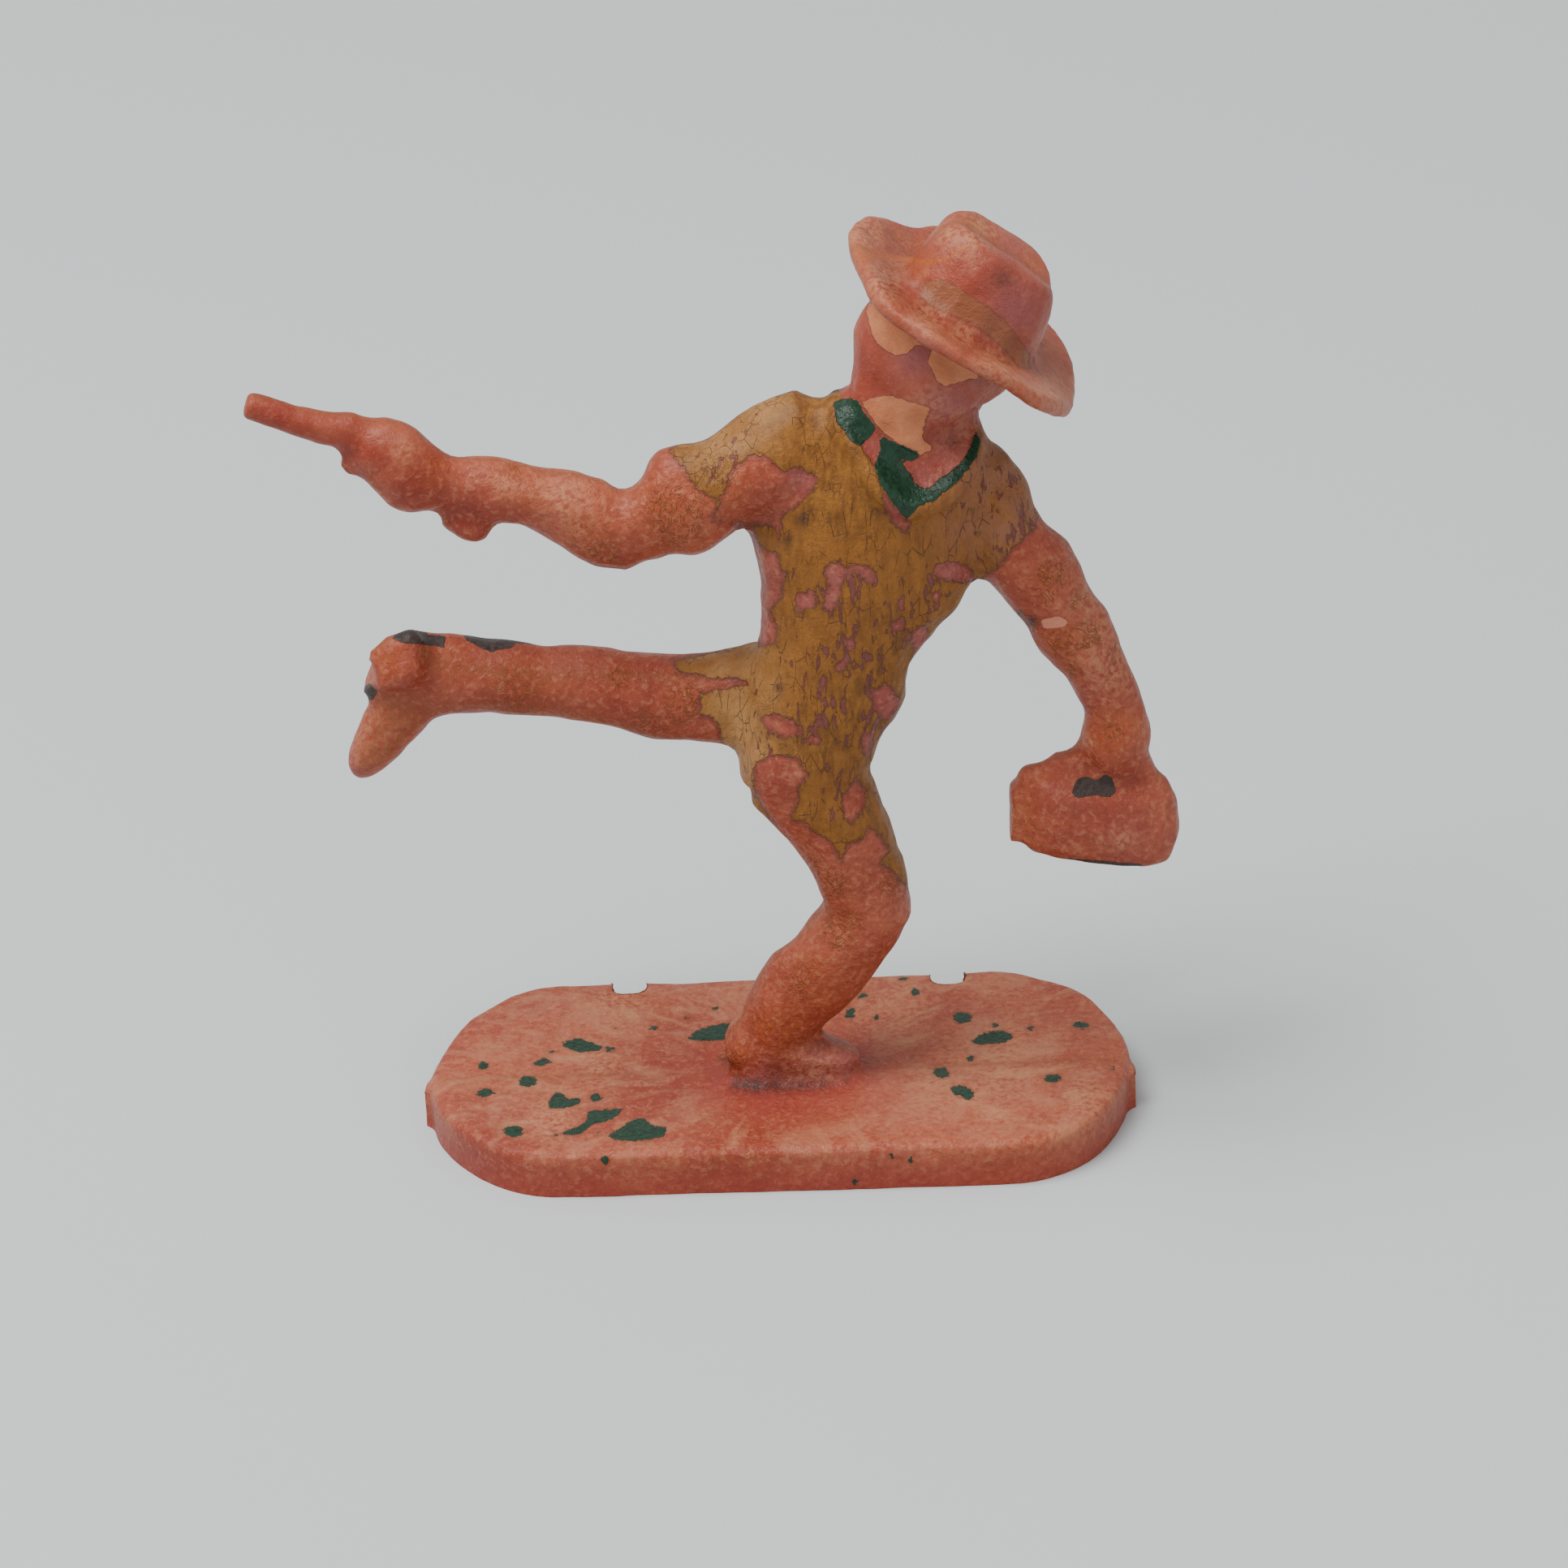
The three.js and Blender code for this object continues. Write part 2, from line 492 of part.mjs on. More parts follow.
function bagGusset() {
  const middle = along(bagFoot.clone().lerp(bagTop, GUSSET.up), -BAG.halfLength, BAG.lean - 90);
  const start = along(middle, -GUSSET.height / 2, BAG.lean);
  const end = along(middle, GUSSET.height / 2, BAG.lean);
  const rings = [start, end].map((at) => ({ at, wide: GUSSET.reach, deep: GUSSET.halfDepth }));
  return cut(loft(rings, { square: BOXY }), bagBody(SEAT));
}

// Neck and head stand on the collar, and the hat sits across the head.
function neck(grow = 0) {
  const rings = NECK_RUN.map((share) => ({
    at: neckFoot.clone().lerp(chin, share),
    wide: NECK_WIDE,
    deep: NECK_DEEP,
  }));
  return loft(rings, { grow });
}

const headRings = HEAD_RINGS.map((ring) => ringOn(chin, HEAD, ring));
const head = (grow = 0) => loft(headRings, { grow });

function inHatFrame(geometry) {
  geometry.rotateY(radians(HAT_TILT));
  return geometry.translate(hatSeat.x, hatSeat.y, hatSeat.z);
}

function hatBrim(grow = 0) {
  const half = BRIM_THICKNESS / 2 + grow;
  const rim = half / BRIM_HALF_LENGTH;
  const rimCentre = 1 + grow / BRIM_HALF_LENGTH - rim;
  const under = BRIM_SHARES.map((share) => new THREE.Vector2(share, -half));
  const over = BRIM_SHARES.map((share) => new THREE.Vector2(share, half)).reverse();
  const edge = [];
  for (let i = 0; i <= BRIM_EDGE_STEPS; i++) {
    const turn = Math.PI * (i / BRIM_EDGE_STEPS - 0.5);
    edge.push(new THREE.Vector2(rimCentre + rim * Math.cos(turn), half * Math.sin(turn)));
  }
  const disc = new THREE.LatheGeometry([...under, ...edge, ...over], BRIM_AROUND);
  disc.rotateX(Math.PI / 2);
  const place = disc.attributes.position;
  for (let i = 0; i < place.count; i++) {
    const x = place.getX(i);
    const y = place.getY(i);
    const curl = BRIM_CURL * y * y - BRIM_BACK_DROOP * Math.max(0, x) ** 2;
    place.setXYZ(i, x * BRIM_HALF_LENGTH, y * BRIM_HALF_WIDTH, place.getZ(i) + curl);
  }
  return inHatFrame(disc);
}

function hatCrown() {
  const rings = CROWN_RINGS.map((ring) => ({
    at: new THREE.Vector3(CROWN_SHIFT, 0, ring.up * CROWN_HEIGHT),
    wide: THREE.MathUtils.lerp(CROWN_FOOT.long, CROWN_TOP.long, ring.taper) * ring.full,
    deep: THREE.MathUtils.lerp(CROWN_FOOT.wide, CROWN_TOP.wide, ring.taper) * ring.full,
  }));
  const crown = loft(rings, { square: CROWN_SQUARE });
  const place = crown.attributes.position;
  for (let i = 0; i < place.count; i++) {
    const up = THREE.MathUtils.smoothstep(place.getZ(i) / CROWN_HEIGHT, CROWN_CREASE.from, 1);
    const across = place.getY(i) / CROWN_TOP.wide;
    const dent = CROWN_CREASE.depth * up * Math.exp(-CROWN_CREASE.narrow * across * across);
    place.setZ(i, place.getZ(i) - dent);
  }
  return cut(inHatFrame(crown), hatBrim(SEAT));
}

// The neckerchief: a closed band that lies low at the throat and high at the nape.
function kerchief() {
  const rings = [];
  for (let i = 0; i < KERCHIEF.rings; i++) {
    const turn = (2 * Math.PI * i) / KERCHIEF.rings;
    const front = Math.max(0, Math.cos(turn));
    const across = KERCHIEF.spread * Math.sin(turn);
    const at = trunkAt(TRUNK.length - KERCHIEF.below);
    at.x += across;
    at.y -= (Math.cos(turn) > 0 ? KERCHIEF_THROAT : KERCHIEF_NAPE) * Math.cos(turn);
    at.z -= KERCHIEF.drop * front * front + KERCHIEF.slope * across;
    rings.push({ at, wide: KERCHIEF.wide, deep: KERCHIEF.tall });
  }
  const band = loft(rings, { closed: true, side: new THREE.Vector3(0, 0, 1) });
  return cut(band, neck(SEAT), head(SEAT), shirt(SEAT));
}

const figure = new THREE.Group();
figure.position.y = PARTING_Y;
const toy = new THREE.Group();

function add(group, name, geometry, material) {
  const mesh = new THREE.Mesh(geometry, material);
  mesh.name = name;
  group.add(mesh);
}

add(toy, "base_plate", makeBase(), PLASTIC);
toy.add(figure);

add(figure, "standing_boot_foot", standingFoot(), PLASTIC);
add(figure, "standing_boot_shaft", cut(stretch(standingLeg, 0, bootTopRing), standingFoot(SEAT)), PLASTIC);
const standingTrousers = stretch(standingLeg, bootTopRing, standingLeg.length - 1);
add(figure, "standing_trouser_leg", cut(standingTrousers, seat(SEAT)), OCHRE);
add(figure, "trousers_seat", seat(), OCHRE);
const trailingTrousers = stretch(trailingLeg, 0, trailingBootTopRing);
add(figure, "trailing_trouser_leg", cut(trailingTrousers, seat(SEAT), shirt(SEAT)), PLASTIC);
add(figure, "trailing_boot_shaft", trailingShaft(), PLASTIC);
add(figure, "trailing_boot_foot", cut(trailingFoot(), trailingShaft(SEAT)), PLASTIC);
add(figure, "trailing_boot_heel", cut(trailingHeel(), trailingFoot(SEAT), trailingShaft(SEAT)), PLASTIC);

add(figure, "shirt_body", shirt(), OCHRE);
add(figure, "pistol_arm_sleeve", cut(stretch(pistolArm, 0, sleeveEndRing), shirt(SEAT)), OCHRE);
add(figure, "pistol_arm_cuff", stretch(pistolArm, sleeveEndRing, cuffEndRing), PLASTIC);
add(figure, "pistol_arm_forearm", pistolForearm(), PLASTIC);
add(figure, "pistol_hand", pistolHand(), PLASTIC);
add(figure, "pistol_barrel", cut(barrel(), pistolHand(SEAT)), PLASTIC);
add(figure, "pistol_frame", pistolFrame(), PLASTIC);
add(figure, "pistol_butt", pistolButt(), PLASTIC);

add(figure, "bag_arm_sleeve", cut(stretch(bagArm, 0, sleeveEndRing), shirt(SEAT)), OCHRE);
add(figure, "bag_arm_cuff", stretch(bagArm, sleeveEndRing, cuffEndRing), PLASTIC);
add(figure, "bag_arm_forearm", stretch(bagArm, cuffEndRing, bagWristRing), PLASTIC);
const bagHand = stretch(bagArm, bagWristRing, bagArm.length - 1);
add(figure, "bag_hand", cut(bagHand, bagFrame(SEAT), bagBody(SEAT)), PLASTIC);
add(figure, "bag_body", bagBody(), PLASTIC);
add(figure, "bag_frame", bagFrame(), PLASTIC);
add(figure, "bag_end_gusset", bagGusset(), PLASTIC);

add(figure, "neckerchief", kerchief(), GREEN);
add(figure, "neck", cut(neck(), shirt(SEAT), head(SEAT)), PLASTIC);
add(figure, "head", cut(head(), hatBrim(SEAT), shirt(SEAT)), PLASTIC);
add(figure, "hat_brim", hatBrim(), PLASTIC);
add(figure, "hat_crown", hatCrown(), PLASTIC);

export default toy;
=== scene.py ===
# %% [markdown]
# A running toy cowboy, moulded in one shot of soft pink plastic on a long stand. Most of its hand paint has
# flaked off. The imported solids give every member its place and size, so the first step loads them as a
# frame and keeps their box. All Blender objects are in metres; the sculpting below works in millimetres.

import json
import math

import bmesh
import bpy
import numpy as np
from mathutils import Matrix, Vector, noise as rolling_noise
from mathutils.bvhtree import BVHTree


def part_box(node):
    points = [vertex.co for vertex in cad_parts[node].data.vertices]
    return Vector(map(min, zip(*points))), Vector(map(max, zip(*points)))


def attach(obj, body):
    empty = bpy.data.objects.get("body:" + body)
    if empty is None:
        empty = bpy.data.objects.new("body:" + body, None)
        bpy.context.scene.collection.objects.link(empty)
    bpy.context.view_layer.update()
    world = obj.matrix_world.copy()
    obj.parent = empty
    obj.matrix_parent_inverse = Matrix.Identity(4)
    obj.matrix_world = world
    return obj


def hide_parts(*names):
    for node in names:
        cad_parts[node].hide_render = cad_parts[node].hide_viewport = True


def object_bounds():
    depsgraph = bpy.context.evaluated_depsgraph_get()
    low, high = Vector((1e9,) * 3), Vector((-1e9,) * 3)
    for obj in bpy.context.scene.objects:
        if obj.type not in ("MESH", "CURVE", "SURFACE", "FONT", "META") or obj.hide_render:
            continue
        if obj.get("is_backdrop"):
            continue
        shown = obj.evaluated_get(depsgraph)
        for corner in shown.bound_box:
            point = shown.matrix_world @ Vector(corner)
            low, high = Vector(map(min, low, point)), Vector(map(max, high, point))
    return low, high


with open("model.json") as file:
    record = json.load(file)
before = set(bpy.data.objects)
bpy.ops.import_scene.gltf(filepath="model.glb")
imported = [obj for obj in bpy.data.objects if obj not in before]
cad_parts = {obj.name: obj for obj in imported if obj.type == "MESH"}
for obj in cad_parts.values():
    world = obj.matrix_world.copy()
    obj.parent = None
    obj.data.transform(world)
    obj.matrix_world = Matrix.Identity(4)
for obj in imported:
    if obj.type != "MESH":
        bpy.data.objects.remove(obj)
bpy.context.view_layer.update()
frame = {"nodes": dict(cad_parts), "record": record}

MM = 0.001
print("frame nodes:", len(frame["nodes"]))

# %% [markdown]
# The picture was taken from about 30 degrees above the table with a long lens. A camera can be placed by
# eye, but here its place, aim and roll were worked out from the outline of the stand, so that a point of
# the toy lands on the same pixel as in the picture. The functions below go from the toy to the picture and
# back, which lets later steps put a lump or a mark exactly where it is seen.

# %% The camera
PICTURE = 1932
SENSOR = 36.0
LENS = 168.08
CAMERA_AT = np.array([2.93, -368.05, 212.5])
CAMERA_AIM = np.array([0.594, -1.2, 21.374])
CAMERA_ROLL = math.radians(-1.858)
CLIP_NEAR, CLIP_FAR = 0.01, 10

focal = LENS / SENSOR * PICTURE
forward = (CAMERA_AIM - CAMERA_AT) / np.linalg.norm(CAMERA_AIM - CAMERA_AT)
level = np.cross(forward, [0, 0, 1])
level = level / np.linalg.norm(level)
upright = np.cross(level, forward)
right = level * math.cos(CAMERA_ROLL) + upright * math.sin(CAMERA_ROLL)
up = upright * math.cos(CAMERA_ROLL) - level * math.sin(CAMERA_ROLL)


def seen(points):
    """Pixels of the picture at which points of the toy, in millimetres, are seen."""
    offset = points - CAMERA_AT
    depth = offset @ forward
    across = PICTURE / 2 + focal * (offset @ right) / depth
    down = PICTURE / 2 - focal * (offset @ up) / depth
    return np.stack([across, down], axis=-1)


def ray_through(across, down):
    """The direction from the camera through a pixel."""
    return forward + right * (across - PICTURE / 2) / focal - up * (down - PICTURE / 2) / focal


def under_pixel(across, down, y):
    """The point, in millimetres, that is seen at a pixel and lies at depth y."""
    ray = ray_through(across, down)
    return CAMERA_AT + ray * (y - CAMERA_AT[1]) / ray[1]


def on_level(across, down, z):
    """The point, in millimetres, that is seen at a pixel and lies at height z."""
    ray = ray_through(across, down)
    return CAMERA_AT + ray * (z - CAMERA_AT[2]) / ray[2]


camera_data = bpy.data.cameras.new("camera")
camera_data.lens = LENS
camera_data.sensor_width = SENSOR
camera_data.clip_start, camera_data.clip_end = CLIP_NEAR, CLIP_FAR
camera = bpy.data.objects.new("camera", camera_data)
bpy.context.collection.objects.link(camera)
turn = Matrix([[right[i], up[i], -forward[i]] for i in range(3)]).to_4x4()
camera.matrix_world = Matrix.Translation(Vector(CAMERA_AT * MM)) @ turn
bpy.context.scene.camera = camera
print("the stand's origin is seen at", seen(np.zeros(3)).round(1))

# %% [markdown]
# The real toy is one piece of plastic, with every limb running softly into the next. Separate tubes would
# show hard joints, so the members of the frame are treated as clay: each is swollen a little so that
# neighbours touch, and small lumps are pressed on for the knuckles, the raised heel, the hip, the foot and
# the bag.

# %% Clay from the frame
PARTING_Y = -1.2
SWELL = 0.4
WELD = 1e-6  # metres
BALL_STEPS = 3
ROLL_STEP = 0.35


def corners_and_faces(mesh, place):
    """What a bmesh holds, with each corner put where the function place says; the bmesh is freed."""
    mesh.verts.index_update()
    corners = [tuple(place(v)) for v in mesh.verts]
    faces = [[v.index for v in face.verts] for face in mesh.faces]
    mesh.free()
    return corners, faces


def swollen(node):
    """Corners and faces of a frame node, in millimetres, pushed outwards by the swell."""
    mesh = bmesh.new()
    mesh.from_mesh(frame["nodes"][node].data)
    bmesh.ops.remove_doubles(mesh, verts=mesh.verts, dist=WELD)
    bmesh.ops.recalc_face_normals(mesh, faces=mesh.faces)
    mesh.normal_update()
    return corners_and_faces(mesh, lambda v: v.co / MM + v.normal * SWELL)


def ball(centre, radius):
    """A ball of clay."""
    mesh = bmesh.new()
    bmesh.ops.create_icosphere(mesh, subdivisions=BALL_STEPS, radius=radius)
    return corners_and_faces(mesh, lambda v: Vector(centre) + v.co)


def roll(start, end, start_radius, end_radius):
    """A tapering roll of clay, as a string of overlapping balls."""
    start, end = np.array(start), np.array(end)
    count = 2 + int(np.linalg.norm(end - start) / (ROLL_STEP * min(start_radius, end_radius)))
    lumps = []
    for share in np.linspace(0, 1, count):
        radius = start_radius + (end_radius - start_radius) * share
        lumps.append(ball(start + (end - start) * share, radius))
    return lumps


clay = [swollen(node) for node in frame["nodes"]]
print("members swollen:", len(clay))

# %% [markdown]
# Lumps that the plain members lack. Each is placed by the pixel at which its middle is seen, and by its
# depth from the parting plane, which runs through the middle of the figure.

# %% Lumps of clay
FIST_LUMPS = [
    ((452, 560), 0.0, 1.35), ((490, 585), -0.6, 1.6), ((520, 596), -0.3, 1.55),
    ((447, 588), 0.0, 0.55), ((560, 628), 0.0, 1.0), ((588, 638), 0.0, 1.25),
]
HEEL_LUMPS = [
    ((485, 801), 0.0, 1.3), ((504, 794), 0.0, 1.25), ((468, 812), 0.0, 1.2), ((478, 826), -0.4, 1.2),
    ((472, 838), -0.4, 1.15), ((500, 824), -0.4, 1.5), ((490, 814), 0.5, 1.3), ((476, 828), 0.4, 1.2),
]
HIP_LUMPS = [((958, 985), -0.3, 1.3), ((945, 965), -0.3, 1.3)]
BAG_LUMPS = [((1274, 965), 0.0, 1.5), ((1300, 952), 0.0, 1.35), ((1415, 962), 0.0, 1.2)]
for pixel, out, radius in FIST_LUMPS + HEEL_LUMPS + HIP_LUMPS + BAG_LUMPS:
    clay.append(ball(under_pixel(*pixel, PARTING_Y + out), radius))

# The boot's foot is a low pad that melts into the stand, and the ankle leans over it.
PAD_TOP = 3.0
PAD_ROLLS = [((924, 1322), (1028, 1319), 1.55, 1.35)]
for start, end, start_radius, end_radius in PAD_ROLLS:
    clay += roll(on_level(*start, PAD_TOP), on_level(*end, PAD_TOP), start_radius, end_radius)
ANKLE_ROLLS = [((964, 1235), (934, 1320), 1.8, 1.6), ((972, 1245), (955, 1315), 1.5, 1.3)]
ANKLE_OUT = -0.7
for start, end, start_radius, end_radius in ANKLE_ROLLS:
    ends = [under_pixel(*pixel, PARTING_Y + ANKLE_OUT) for pixel in (start, end)]
    clay += roll(*ends, start_radius, end_radius)
print("clay lumps in all:", len(clay))

# %% [markdown]
# All lumps now go into one heap. Joining them exactly would keep every crease, so the heap is wrapped in a
# skin of small even squares instead. The skin is kept as plain arrays of corners and faces, in millimetres,
# because the next steps move all its corners at once.

# %% One skin
VOXEL = 0.27


def heap(lumps, name):
    """One mesh object from all the lumps, in metres."""
    corners, faces = [], []
    for lump_corners, lump_faces in lumps:
        first = len(corners)
        corners.extend(lump_corners)
        faces.extend([[first + i for i in face] for face in lump_faces])
    mesh = bpy.data.meshes.new(name)
    mesh.from_pydata((np.array(corners) * MM).tolist(), [], faces)
    obj = bpy.data.objects.new(name, mesh)
    bpy.context.collection.objects.link(obj)
    return obj


clay_heap = heap(clay, "clay_heap")
remesh = clay_heap.modifiers.new("skin", "REMESH")
remesh.mode = "VOXEL"
remesh.voxel_size = VOXEL * MM
depsgraph = bpy.context.evaluated_depsgraph_get()
skin_mesh = clay_heap.evaluated_get(depsgraph).to_mesh()
points = np.zeros(len(skin_mesh.vertices) * 3)
skin_mesh.vertices.foreach_get("co", points)
points = points.reshape(-1, 3) / MM
quads = np.zeros(len(skin_mesh.loops), dtype=int)
skin_mesh.loops.foreach_get("vertex_index", quads)
quads = quads.reshape(-1, 4)
clay_heap.evaluated_get(depsgraph).to_mesh_clear()
bpy.data.objects.remove(clay_heap)
print("skin:", len(points), "corners,", len(quads), "faces")

# %% [markdown]
# The squares of the skin leave small steps. Plain smoothing would wear thin limbs away, so each round eases
# the corners together and then lets them out by a little more. That rounds every joint, as the tool maker's
# cutter did. Broad members are rubbed longer than the fist and the pistol, and the stand the least.

# %% Rubbing down
EASE, LET_OUT = 0.5, 0.52
edges = np.sort(np.concatenate([quads[:, [i, (i + 1) % 4]] for i in range(4)]), axis=1)
edges = np.unique(edges, axis=0)
neighbours = np.bincount(edges.ravel(), minlength=len(points))


def around(values):
    """For each corner, the mean of a value over its neighbours."""
    total = np.zeros_like(values)
    for axis in range(values.shape[1]):
        total[:, axis] = np.bincount(edges[:, 0], values[edges[:, 1], axis], len(points))
        total[:, axis] += np.bincount(edges[:, 1], values[edges[:, 0], axis], len(points))
    return total / neighbours[:, None]


def spread(values, rounds):
    """A value of the corners, shared out among neighbours for some rounds."""
    for _ in range(rounds):
        values = around(values)
    return values


def rub(places, rounds, weight):
    """Smooths without shrinking: each round eases the corners together, then lets them out again."""
    for _ in range(rounds):
        places = places + EASE * weight * (around(places) - places)
        places = places - LET_OUT * weight * (around(places) - places)
    return places


def outward(places):
    """Unit normals of the skin at its corners."""
    a, b, c, d = (places[quads[:, i]] for i in range(4))
    face = np.cross(c - a, d - b)
    total = np.zeros_like(places)
    for i in range(4):
        for axis in range(3):
            total[:, axis] += np.bincount(quads[:, i], face[:, axis], len(places))
    return total / np.linalg.norm(total, axis=1, keepdims=True)


print("neighbours of a corner:", neighbours.min(), "to", neighbours.max())

# %% Which members are rubbed, and how long
BOX_MARGIN = 0.3
BORDER_ROUNDS = 6
BROAD_MEMBERS = [
    "hat_crown", "hat_brim", "head", "shirt_body", "trousers_seat", "standing_trouser_leg",
    "trailing_trouser_leg", "bag_body", "bag_arm_sleeve", "pistol_arm_sleeve", "standing_boot_shaft",
    "standing_boot_foot", "trailing_boot_heel", "trailing_boot_foot", "bag_frame", "bag_end_gusset",
    "bag_hand",
]
EASED_MEMBERS = [["trailing_boot_heel"], ["trailing_boot_heel", "bag_frame", "bag_end_gusset"]]
ALL_ROUNDS, BROAD_ROUNDS, LAST_ROUNDS, EASED_ROUNDS = 14, 30, 4, 8
STAND_SPARED_FIRST, STAND_SPARED_LAST = 0.6, 0.5


def around_node(places, node, margin):
    """Which places lie in the box of a member, or within a margin of it."""
    low, high = (np.array(corner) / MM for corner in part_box(node))
    return np.all((places > low - margin) & (places < high + margin), axis=1)


def in_boxes(places, nodes):
    """Which places lie in the boxes of some members, 1 or 0, with a soft border after a few rounds."""
    mask = np.zeros((len(places), 1))
    for node in nodes:
        mask[around_node(places, node, BOX_MARGIN)] = 1
    return spread(mask, BORDER_ROUNDS)


stand_share = in_boxes(points, ["base_plate"])
broad = in_boxes(points, BROAD_MEMBERS)
points = rub(points, ALL_ROUNDS, 1 - STAND_SPARED_FIRST * stand_share)
points = rub(points, BROAD_ROUNDS, broad * (1 - stand_share))
points = points - SWELL * outward(points)
points = rub(points, LAST_ROUNDS, 1 - STAND_SPARED_LAST * stand_share)
for nodes in EASED_MEMBERS:
    eased = in_boxes(points, nodes) * (1 - stand_share)
    for _ in range(EASED_ROUNDS):
        points = points + EASE * eased * (around(points) - points)
print("rubbed down, height", points[:, 2].max().round(2), "mm")

# %% [markdown]
# A sculptor ends by pulling the edges into place. Each pull below has two pixels: where the edge of the
# rubbed skin was seen, and where the picture has it. Moving only those spots would leave dents, so the
# pulls are blended: every corner of the skin follows the pulls near it, across the line of sight. The
# longest pull is about a millimetre, so each member stays on its node.

# %% Pulls
PULL_REACH = 42.0
PULL_GIVE = 0.3
PULL_RUB_ROUNDS = 8
ARM_PULLS = [
    ((310, 487), (306, 483)), ((304, 505), (300, 503)), ((380, 503), (380, 506)), ((455, 522), (453, 510)),
    ((480, 519), (480, 515)), ((530, 527), (530, 536)), ((548, 545), (545, 556)), ((600, 563), (600, 559)),
    ((700, 578), (700, 578)), ((762, 590), (770, 601)), ((785, 582), (790, 592)), ((803, 582), (798, 574)),
    ((820, 552), (818, 548)), ((870, 537), (870, 545)), ((900, 520), (900, 518)), ((950, 497), (950, 487)),
    ((350, 536), (350, 533)), ((413, 560), (417, 557)), ((425, 590), (428, 585)), ((455, 607), (455, 592)),
    ((480, 618), (480, 625)), ((530, 627), (535, 632)), ((548, 655), (552, 650)), ((580, 670), (585, 665)),
    ((612, 650), (611, 645)), ((640, 661), (630, 640)), ((680, 680), (680, 665)), ((710, 691), (705, 683)),
    ((750, 700), (750, 702)), ((800, 690), (800, 684)), ((840, 681), (842, 684)), ((900, 665), (897, 663)),
    ((920, 658), (910, 645)),
]
HEAD_PULLS = [
    ((1050, 288), (1045, 275)), ((1080, 276), (1075, 265)), ((1105, 275), (1105, 273)),
    ((1133, 280), (1133, 288)), ((1152, 285), (1150, 272)), ((1180, 268), (1181, 256)),
    ((1210, 266), (1210, 266)), ((1290, 318), (1288, 322)), ((1298, 345), (1294, 350)),
    ((1042, 315), (1049, 315)), ((1050, 340), (1060, 340)), ((1065, 362), (1070, 355)),
    ((1068, 385), (1058, 385)), ((1047, 460), (1049, 470)), ((1030, 470), (1030, 483)),
    ((1300, 425), (1310, 420)), ((1315, 465), (1323, 460)), ((1322, 505), (1320, 500)),
    ((1300, 522), (1300, 510)), ((1270, 513), (1270, 508)), ((1240, 495), (1238, 485)),
    ((1215, 505), (1210, 490)), ((1212, 525), (1203, 515)), ((1000, 495), (1000, 483)),
    ((970, 492), (970, 484)), ((1270, 300), (1268, 302)), ((1296, 385), (1296, 385)),
]
BAG_PULLS = [
    ((1225, 558), (1232, 551)), ((1245, 577), (1252, 571)), ((1287, 622), (1280, 628)),
    ((1295, 640), (1288, 645)), ((1318, 675), (1323, 671)), ((1337, 712), (1334, 715)),
    ((1355, 742), (1360, 740)), ((1383, 800), (1388, 797)), ((1400, 860), (1408, 856)),
    ((1412, 905), (1421, 905)), ((1410, 925), (1412, 927)), ((1212, 716), (1208, 706)),
    ((1180, 738), (1187, 742)), ((1237, 755), (1246, 747)), ((1260, 775), (1270, 768)),
    ((1275, 800), (1280, 797)), ((1290, 830), (1303, 820)), ((1310, 850), (1322, 840)),
    ((1327, 875), (1336, 872)), ((1325, 905), (1332, 905)), ((1239, 985), (1243, 985)),
    ((1236, 1010), (1243, 1012)), ((1234, 1035), (1245, 1030)), ((1245, 1047), (1250, 1037)),
    ((1275, 1060), (1275, 1046)), ((1310, 1067), (1310, 1054)), ((1350, 1071), (1350, 1063)),
    ((1400, 1072), (1400, 1066)), ((1425, 1066), (1428, 1064)), ((1440, 1055), (1443, 1058)),
    ((1448, 1025), (1452, 1025)), ((1450, 1000), (1454, 1000)),
]
TRAIL_PULLS = [
    ((550, 783), (550, 780)), ((600, 791), (600, 785)), ((650, 797), (650, 790)), ((720, 798), (720, 792)),
    ((760, 800), (760, 798)), ((830, 801), (830, 805)), ((900, 800), (900, 798)), ((928, 797), (930, 788)),
    ((937, 740), (934, 740)), ((940, 700), (935, 700)), ((443, 845), (450, 845)), ((431, 920), (434, 920)),
    ((460, 962), (455, 957)), ((490, 945), (483, 940)), ((515, 922), (507, 912)), ((535, 900), (527, 893)),
    ((560, 888), (556, 881)), ((600, 889), (600, 877)), ((650, 892), (650, 880)), ((700, 900), (700, 886)),
    ((750, 907), (750, 893)), ((800, 911), (803, 908)), ((850, 914), (850, 911)), ((890, 914), (895, 917)),
    ((898, 925), (903, 925)),
]
LEG_PULLS = [
    ((934, 976), (930, 977)), ((945, 1001), (943, 1001)), ((958, 1035), (964, 1030)),
    ((980, 1065), (990, 1060)), ((1000, 1095), (1008, 1092)), ((1012, 1108), (1011, 1108)),
    ((985, 1135), (990, 1140)), ((965, 1165), (970, 1170)), ((955, 1180), (950, 1172)),
    ((948, 1195), (941, 1192)), ((1090, 905), (1083, 905)), ((1083, 930), (1077, 930)),
    ((1077, 950), (1073, 950)), ((1085, 975), (1080, 972)), ((1095, 1010), (1098, 1008)),
    ((1103, 1040), (1107, 1038)), ((1112, 1075), (1117, 1073)), ((1118, 1100), (1121, 1098)),
    ((1115, 1140), (1117, 1140)), ((1107, 1160), (1113, 1162)), ((1095, 1175), (1100, 1178)),
    ((1137, 785), (1143, 785)), ((1127, 807), (1120, 812)), ((1115, 840), (1120, 845)),
    ((1108, 865), (1117, 862)), ((1100, 885), (1107, 885)), ((887, 1288), (903, 1288)),
    ((884, 1306), (897, 1310)), ((918, 1262), (916, 1262)), ((1040, 1272), (1040, 1284)),
    ((1060, 1290), (1055, 1299)), ((985, 1272), (985, 1278)), ((1022, 1266), (1008, 1268)),
    ((896, 1274), (905, 1276)),
]
